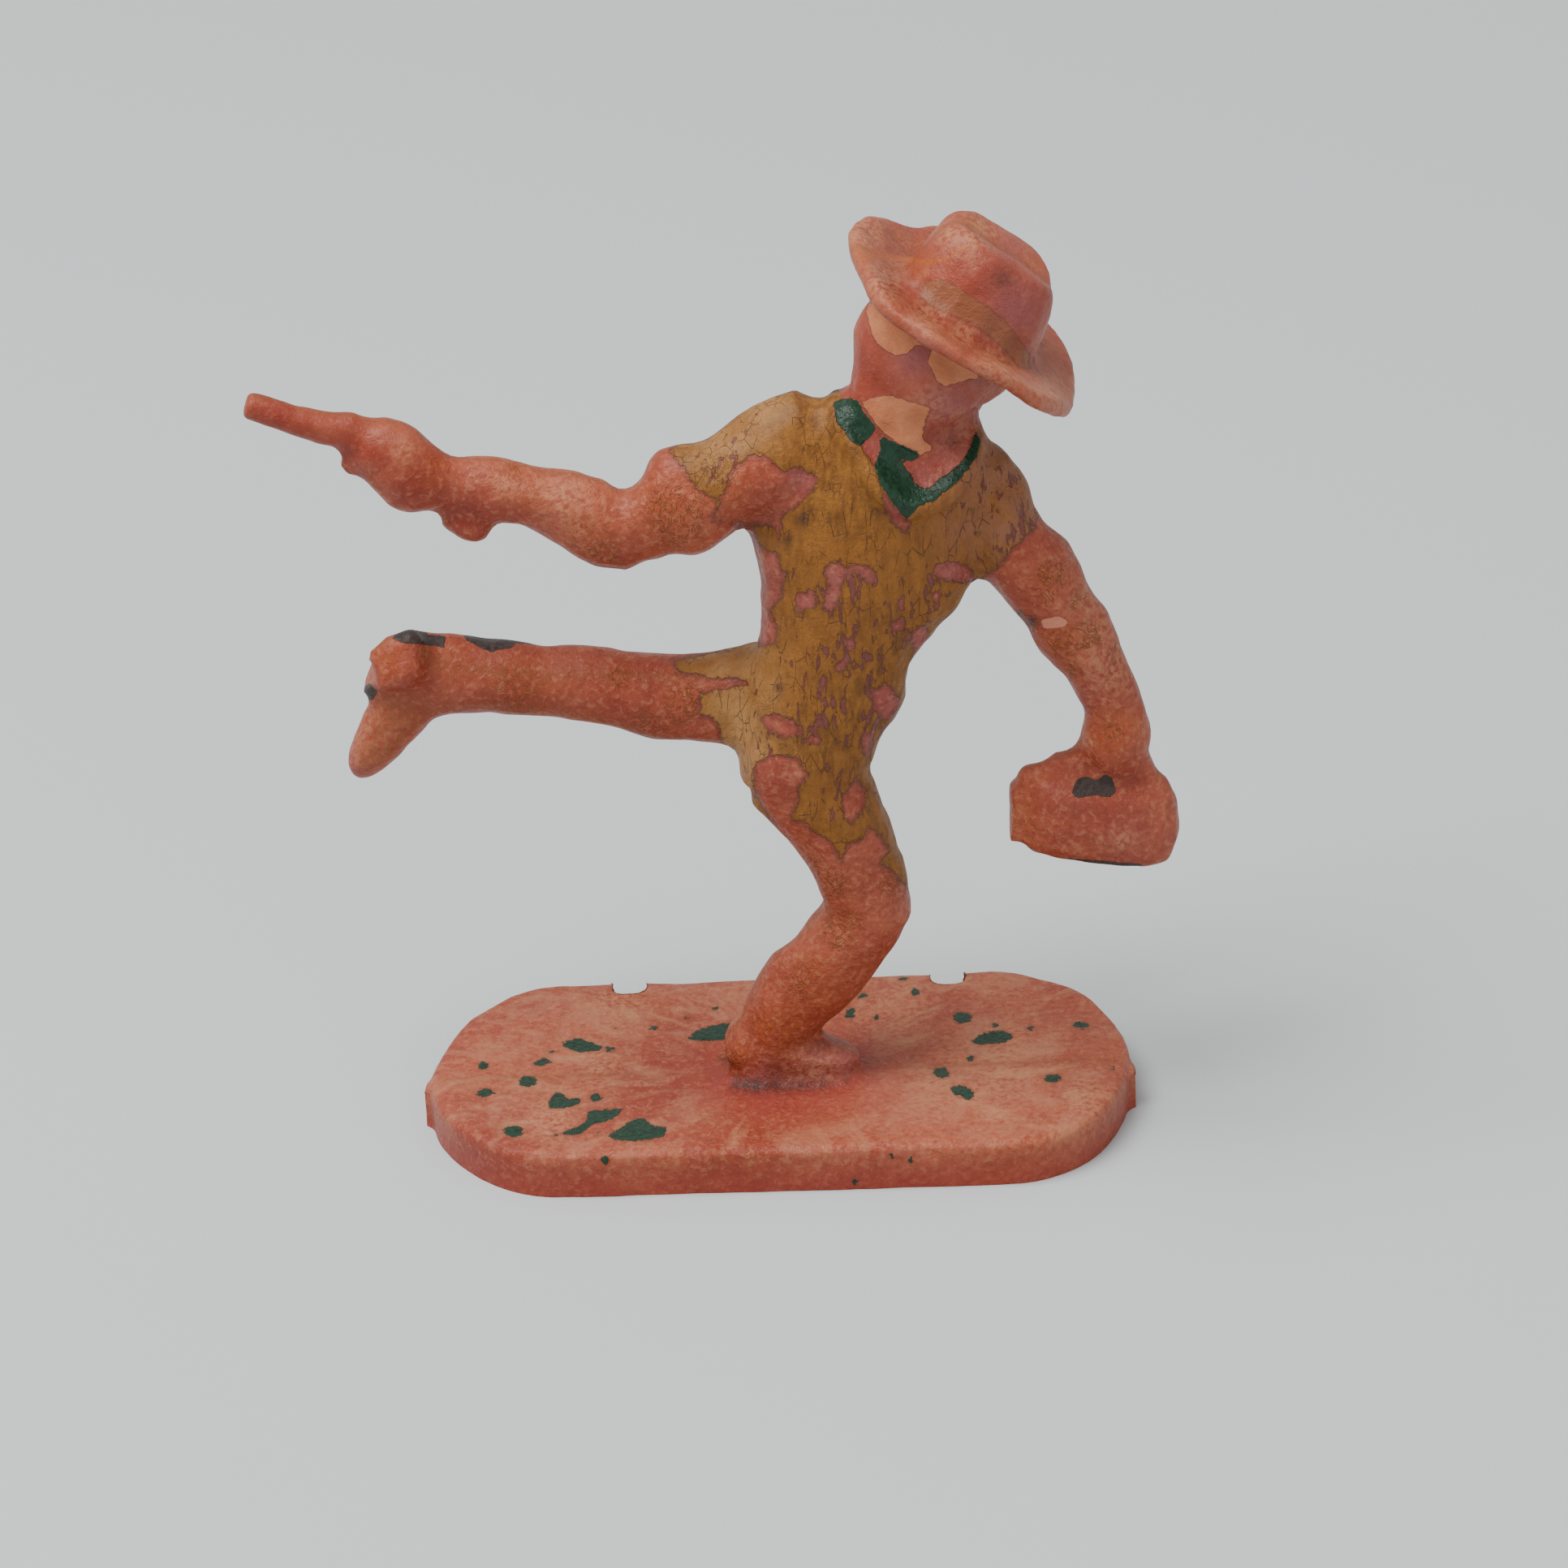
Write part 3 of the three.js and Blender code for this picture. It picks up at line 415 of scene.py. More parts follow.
STAND_PULLS = [
    ((535, 1340), (529, 1338)), ((540, 1375), (534, 1373)), ((545, 1280), (551, 1285)),
    ((600, 1236), (605, 1242)), ((700, 1217), (700, 1222)), ((850, 1211), (850, 1214)),
    ((1290, 1198), (1285, 1204)), ((1370, 1245), (1364, 1251)), ((1403, 1350), (1397, 1348)),
    ((1400, 1300), (1396, 1302)),
]
figure_pulls = ARM_PULLS + HEAD_PULLS + BAG_PULLS + TRAIL_PULLS + LEG_PULLS
print("pulls:", len(figure_pulls), "on the figure,", len(STAND_PULLS), "on the stand")

# %% The pull of many grips together
def hold(spots, grips):
    """How strongly each spot follows each grip, from 1 on the grip to 0 far away."""
    apart = np.linalg.norm(spots[:, None] - grips[None], axis=2)
    return np.exp(-((apart / PULL_REACH) ** 2))


def grips_and_weights(pulls, moves):
    """Where the pulls grip, and how far each has to pull so that all of them together make the moves."""
    grips = np.array([start for start, end in pulls], float)
    return grips, np.linalg.solve(hold(grips, grips) + PULL_GIVE * np.eye(len(grips)), moves)


def pulled(places, pulls, share):
    """Moves the skin across the line of sight, so that each grip comes to where the picture has it."""
    moves = np.array([np.subtract(end, start) for start, end in pulls], float)
    grips, weights = grips_and_weights(pulls, moves)
    shift = hold(seen(places), grips) @ weights * share
    depth = (places - CAMERA_AT) @ forward
    return places + (shift[:, :1] * right - shift[:, 1:] * up) * depth[:, None] / focal


def slid(places, pulls, share):
    """Moves the stand's edge along the floor in the same way, so that its side stays upright."""
    moves = np.array([on_level(*end, STAND_TOP) - on_level(*start, STAND_TOP) for start, end in pulls])
    grips, weights = grips_and_weights(pulls, moves)
    above = np.column_stack([places[:, :2], np.full(len(places), STAND_TOP)])
    return places + hold(seen(above), grips) @ weights * share


STAND_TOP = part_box("base_plate")[1][2] / MM
points = pulled(points, figure_pulls, 1 - stand_share)
points = slid(points, STAND_PULLS, stand_share)
points = rub(points, PULL_RUB_ROUNDS, 1 - stand_share)
print("pulled, height", points[:, 2].max().round(2), "mm")

# %% [markdown]
# Soft plastic from a hand-cut tool is never quite even. A little rolling noise along the normals gives the
# lumps and flats that catch the light; the stand gets less of it than the figure.

# %% Lumpy surface
ROLLING = [(0.10, 0.42, 3.7), (0.06, 1.05, 8.1)]  # height in millimetres, waves in a millimetre, seed
STAND_EVEN = 0.7
LUMP_RUB_ROUNDS = 2


def rolling(places, per_mm, seed):
    """Smooth noise from -1 to 1 at each place."""
    shift = Vector((seed, 2 * seed, -seed))
    return np.array([rolling_noise.noise(Vector(place) * per_mm + shift) for place in places])


normals = outward(points)
lumps = sum(rise * rolling(points, per_mm, seed) for rise, per_mm, seed in ROLLING)
points = points + normals * (lumps[:, None] * (1 - STAND_EVEN * stand_share))
points = rub(points, LUMP_RUB_ROUNDS, 1 - STAND_SPARED_LAST * stand_share)
print("deepest dent and highest lump:", lumps.min().round(2), lumps.max().round(2), "mm")

# %% [markdown]
# The stand sits on the table without a gap. The skin is round at that edge, so its lowest part is pressed
# flat. The first corners that touch the table are put straight under the wall, and a few more rings of
# corners turn inwards from there. They take the wall's direction as their normal; otherwise the edge would
# show a dark line.

# %% The stand's lowest edge
GROUND, PRESSED_BELOW = 0.3, 0.9
RIM_RINGS, RING_STEP = 4, 0.2
TINY = 1e-6

height = points[:, 2]
pressed = np.maximum((height - GROUND) * PRESSED_BELOW / (PRESSED_BELOW - GROUND), 0)
points[:, 2] = np.where(height < PRESSED_BELOW, pressed, height)
above = (points[:, 2:] > 0).astype(float)
low_rim = (above[:, 0] == 0) & (around(above)[:, 0] > 0)
points[low_rim, :2] = around(points * above)[low_rim, :2] / around(above)[low_rim]
side = outward(points)
side[:, 2] = 0
side = side / np.maximum(np.linalg.norm(side, axis=1, keepdims=True), TINY)
ring, done = low_rim, low_rim | (above[:, 0] > 0)
for _ in range(RIM_RINGS):
    share = ring[:, None].astype(float)
    beside = np.maximum(around(share), TINY)
    inner = ~done & (around(share)[:, 0] > 0)
    side[inner] = (around(side * share) / beside)[inner]
    points[inner] = (around(points * share) / beside)[inner] - RING_STEP * side[inner]
    ring, done = inner, done | inner
normals = outward(points)
normals[low_rim] = side[low_rim]
print("corners along the lowest edge:", int(low_rim.sum()))

# %% [markdown]
# The one skin is now shared out again: each face goes to the frame node that lies nearest, stray islands go
# to their neighbours, and each share becomes a piece of its own that is closed by a cap inside the body.
# All pieces keep the normals of the undivided skin, so the seams between them don't show.

# %% Sharing out the skin
names = list(frame["nodes"])
REACH = 1.5
VOTE_ROUNDS, MAJORITY, ISLAND_ROUNDS = 3, 3, 12
nearest = np.full(len(points), np.inf)
owner = np.zeros(len(points), dtype=int)
for number, node in enumerate(names):
    close = around_node(points, node, REACH)
    tree = BVHTree.FromObject(frame["nodes"][node], depsgraph)
    for index in np.nonzero(close)[0]:
        distance = tree.find_nearest(points[index] * MM)[3] / MM
        if distance < nearest[index]:
            nearest[index] = distance
            owner[index] = number

face_owner = np.array([np.bincount(votes).argmax() for votes in owner[quads]])

side_faces = {}
for face_number, face in enumerate(quads):
    for i in range(4):
        key = (min(face[i], face[(i + 1) % 4]), max(face[i], face[(i + 1) % 4]))
        side_faces.setdefault(key, []).append(face_number)
pairs = np.array([pair for pair in side_faces.values() if len(pair) == 2])
print("faces next to each other:", len(pairs))

# %% Stray islands
def beside_counts():
    """For each face, how many neighbouring faces each node owns."""
    counts = np.zeros((len(quads), len(names)), dtype=int)
    np.add.at(counts, (pairs[:, 0], face_owner[pairs[:, 1]]), 1)
    np.add.at(counts, (pairs[:, 1], face_owner[pairs[:, 0]]), 1)
    return counts


for _ in range(VOTE_ROUNDS):
    counts = beside_counts()
    best = counts.argmax(axis=1)
    change = counts.max(axis=1) >= MAJORITY
    face_owner[change] = best[change]

# Islands: faces are joined to same-owner neighbours, and all but each node's largest island change hands.
for _ in range(ISLAND_ROUNDS):
    island = np.arange(len(quads))
    same = pairs[face_owner[pairs[:, 0]] == face_owner[pairs[:, 1]]]
    while True:
        low = np.minimum(island[same[:, 0]], island[same[:, 1]])
        before = island.copy()
        np.minimum.at(island, same[:, 0], low)
        np.minimum.at(island, same[:, 1], low)
        island = island[island]
        if np.array_equal(before, island):
            break
    sizes = np.bincount(island, minlength=len(quads))
    largest = np.zeros(len(names), dtype=int)
    for number in range(len(names)):
        mine = np.nonzero(face_owner == number)[0]
        largest[number] = island[mine][sizes[island[mine]].argmax()] if len(mine) else -1
    stray = island != largest[face_owner]
    if not stray.any():
        break
    counts = beside_counts()
    counts[np.arange(len(quads)), face_owner] = 0
    movable = stray & (counts.max(axis=1) > 0)
    face_owner[movable] = counts.argmax(axis=1)[movable]
print("stray faces left:", int(stray.sum()))

# %% [markdown]
# A share of the skin is open where it meets its neighbours. Each open rim is closed by a fan of triangles
# to the middle of the rim, which lies inside the body. So every piece is a closed body that stands for its
# node.

# %% Pieces
def rims(faces):
    """The open edges of a set of faces, as loops of corners."""
    after = {}
    used = {}
    for face in faces:
        for i in range(4):
            used[(face[i], face[(i + 1) % 4])] = True
    for start, end in used:
        if (end, start) not in used:
            after.setdefault(start, []).append(end)
    loops = []
    while after:
        start = next(iter(after))
        loop = [start]
        while True:
            ends = after[loop[-1]]
            end = ends.pop()
            if not ends:
                del after[loop[-1]]
            if end == start:
                break
            loop.append(end)
        loops.append(loop)
    return loops


def piece(number, marks, material):
    """One share of the skin as a closed object that replaces its frame node."""
    node = names[number]
    faces = quads[face_owner == number]
    used, faces = np.unique(faces, return_inverse=True)
    faces = faces.reshape(-1, 4)
    places = points[used]
    facing = normals[used]
    corners = [tuple(face) for face in faces.tolist()]
    extra_places, extra_facing, extra_used = [], [], []
    for loop in rims(faces.tolist()):
        middle = len(places) + len(extra_places)
        extra_places.append(places[loop].mean(axis=0))
        extra_facing.append(facing[loop].mean(axis=0))
        extra_used.append(used[loop[0]])
        for i in range(len(loop)):
            corners.append((loop[(i + 1) % len(loop)], loop[i], middle))
    if extra_places:
        places = np.concatenate([places, extra_places])
        facing = np.concatenate([facing, extra_facing])
        used = np.concatenate([used, extra_used])
    mesh = bpy.data.meshes.new(node + "_skin")
    mesh.from_pydata((places * MM).tolist(), [], corners, shade_flat=False)
    mesh.normals_split_custom_set_from_vertices(facing.tolist())
    for name, values in marks.items():
        layer = mesh.attributes.new(name, "FLOAT", "POINT")
        layer.data.foreach_set("value", values[used].astype(np.float32))
    mesh.materials.append(material)
    obj = bpy.data.objects.new(node + "_skin", mesh)
    bpy.context.collection.objects.link(obj)
    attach(obj, "root")
    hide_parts(node)
    return obj


slot_of = {part["node"]: part["material_slot"] for part in frame["record"]["subparts"]}
print("material slots:", ", ".join(sorted(set(slot_of.values()))))

# %% [markdown]
# The paint is mostly gone, and what is left has islands and holes of its own. A picture could be projected,
# but it would smear round the sides. Instead each patch is an outline with few corners, drawn over a zoomed
# view of the picture, and every corner of the skin stores how far it lies inside the outline, in
# millimetres. The material turns that distance into a ragged edge with noise, so the edge stays crisp
# between the corners.

# %% Views and distances
PIXELS_PER_MM = 21.2
HEAD_VIEW = (960, 240, 380 / 1568)
TORSO_VIEW = (780, 470, 520 / 1568)
LEG_VIEW = (820, 900, 380 / 1295)
TRAIL_VIEW = (410, 740, 550 / 1568)
BAG_VIEW = (1180, 600, 300 / 960)
PISTOL_VIEW = (290, 460, 650 / 1568)
BASE_VIEW = (560, 1180, 840 / 1568)
FAR = -9.0
LOOK_AROUND = 3
TURNED_AWAY = -0.25

pixels = seen(points)
front = -(normals @ forward) > TURNED_AWAY


def within(view, outline, where=None):
    """How far each corner of the skin is seen inside an outline, in millimetres: negative outside it."""
    left, top, scale = view
    outline = np.array(outline, float) * scale + (left, top)
    margin = LOOK_AROUND * PIXELS_PER_MM
    low, high = outline.min(axis=0) - margin, outline.max(axis=0) + margin
    close = np.all((pixels > low) & (pixels < high), axis=1)
    if where is not None:
        close = close & where
    spots = pixels[close]
    best = np.full(len(spots), np.inf)
    crossings = np.zeros(len(spots), dtype=int)
    for a, b in zip(outline, np.roll(outline, -1, axis=0)):
        side = b - a
        share = np.clip(((spots - a) @ side) / (side @ side), 0, 1)
        best = np.minimum(best, np.linalg.norm(spots - a - share[:, None] * side, axis=1))
        straddles = (a[1] > spots[:, 1]) != (b[1] > spots[:, 1])
        reach = a[0] + (spots[:, 1] - a[1]) * side[0] / (side[1] if side[1] else TINY)
        crossings += straddles & (spots[:, 0] < reach)
    distance = np.full(len(points), FAR)
    distance[close] = np.where(crossings % 2 == 1, best, -best) / PIXELS_PER_MM
    return distance


def patches(view, outlines, where=None):
    """Distance into the nearest of several outlines."""
    total = np.full(len(points), FAR)
    for outline in outlines:
        total = np.maximum(total, within(view, outline, where))
    return total


def from_spot(view, x, y):
    """Offsets of the corners of the skin from a spot of a view, as the picture shows them."""
    left, top, scale = view
    return (pixels - (left, top)) / scale - (x, y)


def flakes(view, spots, where):
    """Distance into the nearest of several small ovals, each given as x, y, half width and half height."""
    scale = view[2]
    total = np.full(len(points), FAR)
    for x, y, wide, tall in spots:
        offset = from_spot(view, x, y)
        reach = 1 - np.hypot(offset[:, 0] / wide, offset[:, 1] / tall)
        total = np.maximum(total, reach * min(wide, tall) * scale / PIXELS_PER_MM)
    total[~where] = FAR
    return total


def airbrush(view, puffs):
    """Soft colour from 0 to 1, as puffs given as x, y, radius and strength."""
    total = np.zeros(len(points))
    for x, y, radius, strength in puffs:
        apart = (from_spot(view, x, y) ** 2).sum(axis=1)
        total = np.maximum(total, strength * np.exp(-apart / radius ** 2))
    return total


node_at = np.zeros(len(points), dtype=int)
node_at[quads.ravel()] = np.repeat(face_owner, 4)


def belongs(*nodes):
    """Which corners of the skin lie on the named members."""
    return np.isin(node_at, [names.index(node) for node in nodes])


print("corners that face the camera:", int(front.sum()))

# %% [markdown]
# Ochre once covered the shirt and both thighs. What is left is one large patch with holes, so the outlines
# of the paint are joined first, and the bare patches are then cut out of them. Airbrushed puffs say where
# the paint is chipped, browned or rubbed to tan; the tan puffs also hold painted light on lit tops, such as
# the left shoulder and the trailing thigh.

# %% Ochre paint on the shirt and trousers
SHIRT_PAINT = [
    (140, 262), (170, 215), (250, 225), (300, 195), (400, 115), (500, 60), (600, 35), (760, 25), (1300, 150),
    (1400, 255), (1480, 340), (1525, 470), (1490, 540), (1400, 640), (1310, 720), (1260, 790), (1180, 870),
    (1130, 900), (1110, 990), (1040, 1030), (1040, 1180), (990, 1290), (910, 1350), (890, 1430), (940, 1600),
    (560, 1640), (430, 1600), (330, 1350), (440, 1180), (455, 960), (490, 860), (560, 760), (540, 640),
    (470, 620), (440, 535), (380, 530), (300, 510), (320, 440), (240, 400), (200, 330),
]
THIGH_PAINT = [
    (240, 0), (320, 220), (420, 330), (520, 380), (560, 330), (590, 390), (640, 435), (700, 470), (740, 545),
    (765, 480), (830, 450), (850, 400), (900, 440), (940, 500), (900, 560), (960, 600), (1005, 640),
    (1040, 690), (1040, 560), (960, 380), (890, 260), (860, 100), (900, 0),
]
TRAIL_PAINT = [
    [(1195, 215), (1360, 180), (1490, 130), (1560, 140), (1560, 300), (1300, 268), (1210, 250)],
    [(1285, 325), (1560, 280), (1560, 560), (1440, 600), (1390, 520), (1340, 420), (1290, 400)],
]
SHIRT_BARE = [
    [(365, 335), (430, 270), (500, 282), (548, 335), (620, 318), (690, 358), (645, 430), (600, 470),
     (560, 490), (545, 590), (510, 540), (440, 535), (380, 530), (300, 510), (320, 440), (350, 390)],
    [(460, 680), (540, 670), (570, 720), (550, 800), (500, 850), (545, 915), (530, 970), (470, 990),
     (440, 840)],
    [(595, 830), (610, 790), (665, 770), (682, 800), (675, 840), (635, 845), (628, 882), (602, 865)],
    [(712, 700), (740, 672), (800, 690), (840, 680), (900, 700), (905, 760), (880, 750), (830, 705),
     (785, 740), (770, 800), (745, 850), (705, 855), (722, 770)],
    [(925, 390), (960, 450), (1005, 500), (1035, 530), (1010, 565), (965, 520), (935, 470)],
    [(1110, 690), (1180, 665), (1250, 690), (1275, 740), (1180, 745), (1130, 730)],
    [(1110, 790), (1135, 765), (1145, 800), (1125, 850)],
    [(980, 830), (1005, 790), (1015, 830), (990, 860)],
    [(965, 900), (1000, 880), (1005, 920), (970, 940)],
    [(1030, 940), (1070, 900), (1100, 930), (1090, 985), (1040, 1000)],
    [(745, 1050), (790, 1030), (800, 1065), (770, 1090)],
    [(785, 965), (815, 950), (830, 990), (800, 1000)],
    [(880, 1150), (940, 1120), (1000, 1190), (950, 1270), (900, 1230)],
    [(470, 1250), (530, 1235), (620, 1280), (635, 1320), (560, 1330), (500, 1290)],
    [(635, 1325), (690, 1315), (695, 1345), (650, 1350)],
    [(845, 1310), (900, 1300), (880, 1400), (850, 1380)],
]
THROAT_BARE = [
    [(975, 288), (1070, 270), (1117, 250), (1190, 225), (1260, 205), (1240, 300), (1140, 362), (1090, 405),
     (1042, 375), (1035, 345)],
    [(845, 235), (895, 195), (930, 250), (905, 330), (880, 300)],
]
THIGH_BARE = [
    [(375, 135), (450, 105), (560, 115), (602, 190), (552, 245), (562, 300), (520, 370), (560, 400),
     (545, 445), (470, 435), (420, 340), (365, 250)],
    [(745, 280), (800, 195), (845, 260), (832, 340), (790, 392), (738, 370)],
]
ochre = np.maximum(within(TORSO_VIEW, SHIRT_PAINT), within(LEG_VIEW, THIGH_PAINT))
ochre = np.maximum(ochre, patches(TRAIL_VIEW, TRAIL_PAINT))
ochre = np.minimum(ochre, -patches(TORSO_VIEW, SHIRT_BARE + THROAT_BARE))
ochre = np.minimum(ochre, -patches(LEG_VIEW, THIGH_BARE))
ochre[belongs("base_plate", "neck", "head", "hat_brim", "hat_crown", "bag_body")] = FAR
CHIPS = [(820, 800, 140, 1.0), (850, 1020, 170, 0.9), (700, 1230, 170, 0.9), (980, 950, 130, 1.0),
         (560, 1300, 120, 0.9), (940, 1250, 130, 1.0), (760, 1480, 120, 0.8), (330, 330, 120, 0.9),
         (1330, 420, 140, 0.8), (1420, 560, 130, 1.0), (1080, 760, 120, 0.9), (640, 1050, 120, 0.7)]
chips = airbrush(TORSO_VIEW, CHIPS)
BROWNED = [(1330, 380, 150, 1.0), (1400, 520, 150, 1.0), (1250, 550, 120, 0.7), (1480, 620, 120, 0.9)]
browned = airbrush(TORSO_VIEW, BROWNED)
# Tan puffs: rubbed paint, and painted light on the lit tops of the left shoulder and the trailing thigh.
TAN_WEAR_AND_LIGHT = [(TRAIL_VIEW, [(1400, 230, 150, 0.9), (1400, 430, 130, 1.0), (1480, 560, 110, 0.8)]),
       (TORSO_VIEW, [(480, 80, 110, 0.7), (320, 230, 120, 0.6), (480, 1150, 80, 0.7)])]
print("ochre corners:", int((ochre > 0).sum()))

# %% [markdown]
# The smaller paints are green on the knotted cloth, flesh on the face, neck and arm, dark brown on the
# raised boot and the bag, and a brown band on the hat. They are drawn only on the side that faces the
# camera. The green goes on round the nape, because the cloth does.

# %% Green, flesh and dark paint
KERCHIEF_GREEN = [
    [(742, 75), (790, 58), (835, 70), (858, 120), (902, 170), (880, 205), (850, 238), (815, 225), (758, 150)],
    [(912, 195), (980, 232), (1070, 270), (1040, 292), (978, 290), (1035, 345), (1042, 375), (1090, 405),
     (1140, 362), (1210, 312), (1255, 240), (1275, 185), (1295, 215), (1282, 272), (1240, 332), (1180, 397),
     (1110, 447), (1060, 466), (1015, 514), (985, 476), (930, 396), (898, 315), (918, 260)],
]
NECK_FLESH = [(848, 78), (900, 58), (960, 55), (1050, 85), (1106, 100), (1085, 150), (1073, 210), (1100, 233),
              (1117, 250), (1070, 274), (1000, 242), (930, 190), (888, 140)]
FACE_FLESH = [
    [(440, 590), (455, 545), (500, 560), (560, 640), (700, 712), (860, 775), (845, 792), (780, 785),
     (705, 760), (690, 770), (648, 806), (590, 820), (535, 786), (485, 745), (470, 690)],
    [(778, 780), (860, 792), (940, 840), (1035, 932), (960, 938), (900, 957), (840, 974), (800, 940),
     (780, 890), (757, 850)],
]
SHOE_DARK = [
    [(205, 130), (250, 98), (320, 85), (332, 120), (398, 124), (392, 162), (330, 156), (240, 147)],
    [(455, 120), (540, 127), (637, 138), (632, 167), (552, 180), (510, 162), (470, 142)],
    [(640, 138), (755, 143), (752, 155), (640, 152)],
    [(110, 300), (130, 290), (155, 318), (142, 348), (112, 352)],
]
BAG_DARK = [
    [(450, 1205), (470, 1152), (508, 1138), (545, 1162), (582, 1130), (610, 1148), (624, 1202), (600, 1226),
     (545, 1214), (470, 1226)],
    [(430, 1462), (520, 1470), (735, 1486), (720, 1500), (560, 1496), (480, 1482)],
]
ARM_PALE = [(325, 525), (400, 510), (432, 528), (428, 552), (340, 560)]
print("outlines:", len(KERCHIEF_GREEN), "green,", len(FACE_FLESH), "flesh,", len(SHOE_DARK + BAG_DARK), "dark")

# %% Where the smaller paints lie
NAPE_IN, NAPE_OUT, NAPE_STARTS = 0.35, -0.6, 0.5
SKIN_EDGE, SKIN_ROUNDS = 0.6, 5
green = patches(TORSO_VIEW, KERCHIEF_GREEN, front)
nape = np.where(belongs("neckerchief") & (points[:, 1] > PARTING_Y), NAPE_IN, NAPE_OUT)[:, None]
nape = spread(nape, BORDER_ROUNDS)
green = np.where(points[:, 1] > PARTING_Y + NAPE_STARTS, np.maximum(green, nape[:, 0]), green)
flesh = np.maximum(within(TORSO_VIEW, NECK_FLESH, front), patches(HEAD_VIEW, FACE_FLESH, front))
bare_skin = np.where(belongs("head", "neck"), SKIN_EDGE, -SKIN_EDGE)[:, None]
flesh = np.minimum(flesh, spread(bare_skin, SKIN_ROUNDS)[:, 0])
dark = np.maximum(patches(TRAIL_VIEW, SHOE_DARK, front), patches(BAG_VIEW, BAG_DARK, front))
pale = within(BAG_VIEW, ARM_PALE, front)
HAT_BROWN = [
    [(720, 480), (760, 435), (860, 440), (960, 500), (1060, 570), (1150, 640), (1240, 760), (1292, 850),
     (1270, 892), (1210, 870), (1150, 790), (1050, 700), (900, 615), (760, 560), (712, 520)],
]
ORANGE_LINE = [(395, 300), (560, 295), (740, 330), (830, 315), (980, 235), (985, 262), (840, 345), (740, 358),
               (560, 322), (400, 325)]
brown = patches(HEAD_VIEW, HAT_BROWN, front)
orange = within(HEAD_VIEW, ORANGE_LINE, front)
print("green, flesh, dark corners:", [int((field > 0).sum()) for field in (green, flesh, dark)])

# %% [markdown]
# The stand was once green, and only crumbs of that are left. The larger ones have an outline each, and the
# small ones are ovals.

# %% Green flakes on the stand
STAND_FLAKES = [
    [(245, 192), (290, 184), (342, 206), (330, 216), (290, 216), (250, 205)],
    [(533, 186), (560, 165), (645, 148), (628, 186), (570, 192)],
    [(213, 332), (236, 304), (260, 325), (292, 324), (282, 341), (240, 346), (218, 347)],
    [(222, 411), (300, 380), (308, 350), (388, 349), (370, 371), (312, 386), (290, 406)],
    [(348, 412), (410, 375), (436, 366), (452, 386), (488, 390), (482, 412), (420, 423), (370, 419)],
    [(174, 246), (210, 229), (224, 240), (190, 251)],
    [(50, 312), (70, 299), (97, 308), (62, 324)],
    [(1188, 192), (1215, 174), (1260, 167), (1287, 180), (1260, 196), (1210, 202)],
    [(1138, 300), (1170, 290), (1194, 310), (1192, 330), (1150, 316)],
    [(896, 140), (905, 112), (922, 120), (912, 132), (928, 140)],
]
STAND_DOTS = [
    (135, 400, 22, 12), (66, 248, 14, 9), (168, 285, 20, 12), (326, 323, 17, 10), (358, 211, 12, 6),
    (1168, 138, 20, 14), (1120, 264, 19, 12), (1442, 155, 20, 8), (1378, 278, 18, 9), (1188, 232, 8, 6),
    (1327, 163, 9, 6), (460, 162, 11, 6), (535, 138, 7, 5), (600, 118, 7, 5), (1060, 80, 9, 9),
    (1030, 50, 9, 5), (940, 88, 12, 5), (1512, 253, 7, 6), (1243, 155, 9, 4), (968, 137, 7, 5),
    (222, 217, 9, 4), (1005, 456, 7, 6), (1049, 463, 7, 9), (922, 513, 7, 9), (348, 465, 9, 10),
    (365, 165, 7, 4), (330, 405, 6, 5), (585, 420, 6, 4),
]
on_stand = belongs("base_plate") & front
green = np.maximum(green, patches(BASE_VIEW, STAND_FLAKES, on_stand))
green = np.maximum(green, flakes(BASE_VIEW, STAND_DOTS, on_stand))
print("green corners on the stand:", int(((green > 0) & on_stand).sum()))

# %% [markdown]
# Soft plastic takes up dirt, heat and light unevenly. A hard outline would look like paint, so these stains
# are puffs that fade out, in six tints. Three carry painted light and shade: the red puffs are partly painted
# shade, the pale ones are partly painted light, and the crease puffs are painted shade where parts meet.

# %% Airbrushed stains
# Red puffs: partly a stain, partly painted shade and a painted red glow where the plastic is thin, as at the
# fist and the barrel.
ROSY_STAIN_AND_SHADE = [
    (HEAD_VIEW, [(480, 900, 110, 0.8), (560, 960, 90, 0.7), (560, 500, 70, 0.7), (620, 600, 70, 0.7),
                 (1060, 360, 90, 0.6), (1470, 880, 50, 0.8), (950, 770, 60, 0.6)]),
    (PISTOL_VIEW, [(90, 120, 60, 0.8), (200, 180, 70, 0.8), (380, 250, 130, 1.0), (540, 330, 130, 1.0),
                   (110, 130, 90, 0.9), (690, 430, 110, 0.9), (640, 330, 60, 0.6), (1150, 530, 110, 0.6)]),
    (TRAIL_VIEW, [(330, 300, 160, 0.5), (700, 330, 220, 0.7), (1050, 350, 200, 0.9), (1190, 400, 90, 0.7)]),
    (LEG_VIEW, [(470, 200, 90, 0.7), (800, 300, 60, 0.6), (870, 650, 120, 0.5), (380, 1430, 120, 0.6)]),
    (TORSO_VIEW, [(470, 400, 110, 0.8), (90, 480, 110, 0.5), (500, 760, 60, 0.6)]),
    (BAG_VIEW, [(550, 1280, 230, 0.8), (480, 580, 80, 0.5), (600, 750, 110, 0.6), (230, 1230, 50, 0.9),
                (520, 1060, 60, 0.6)]),
    (BASE_VIEW, [(480, 290, 120, 0.7), (680, 400, 160, 0.6), (400, 265, 60, 0.7), (1480, 300, 120, 0.5),
                 (80, 420, 120, 0.5), (760, 330, 130, 0.6)]),
]
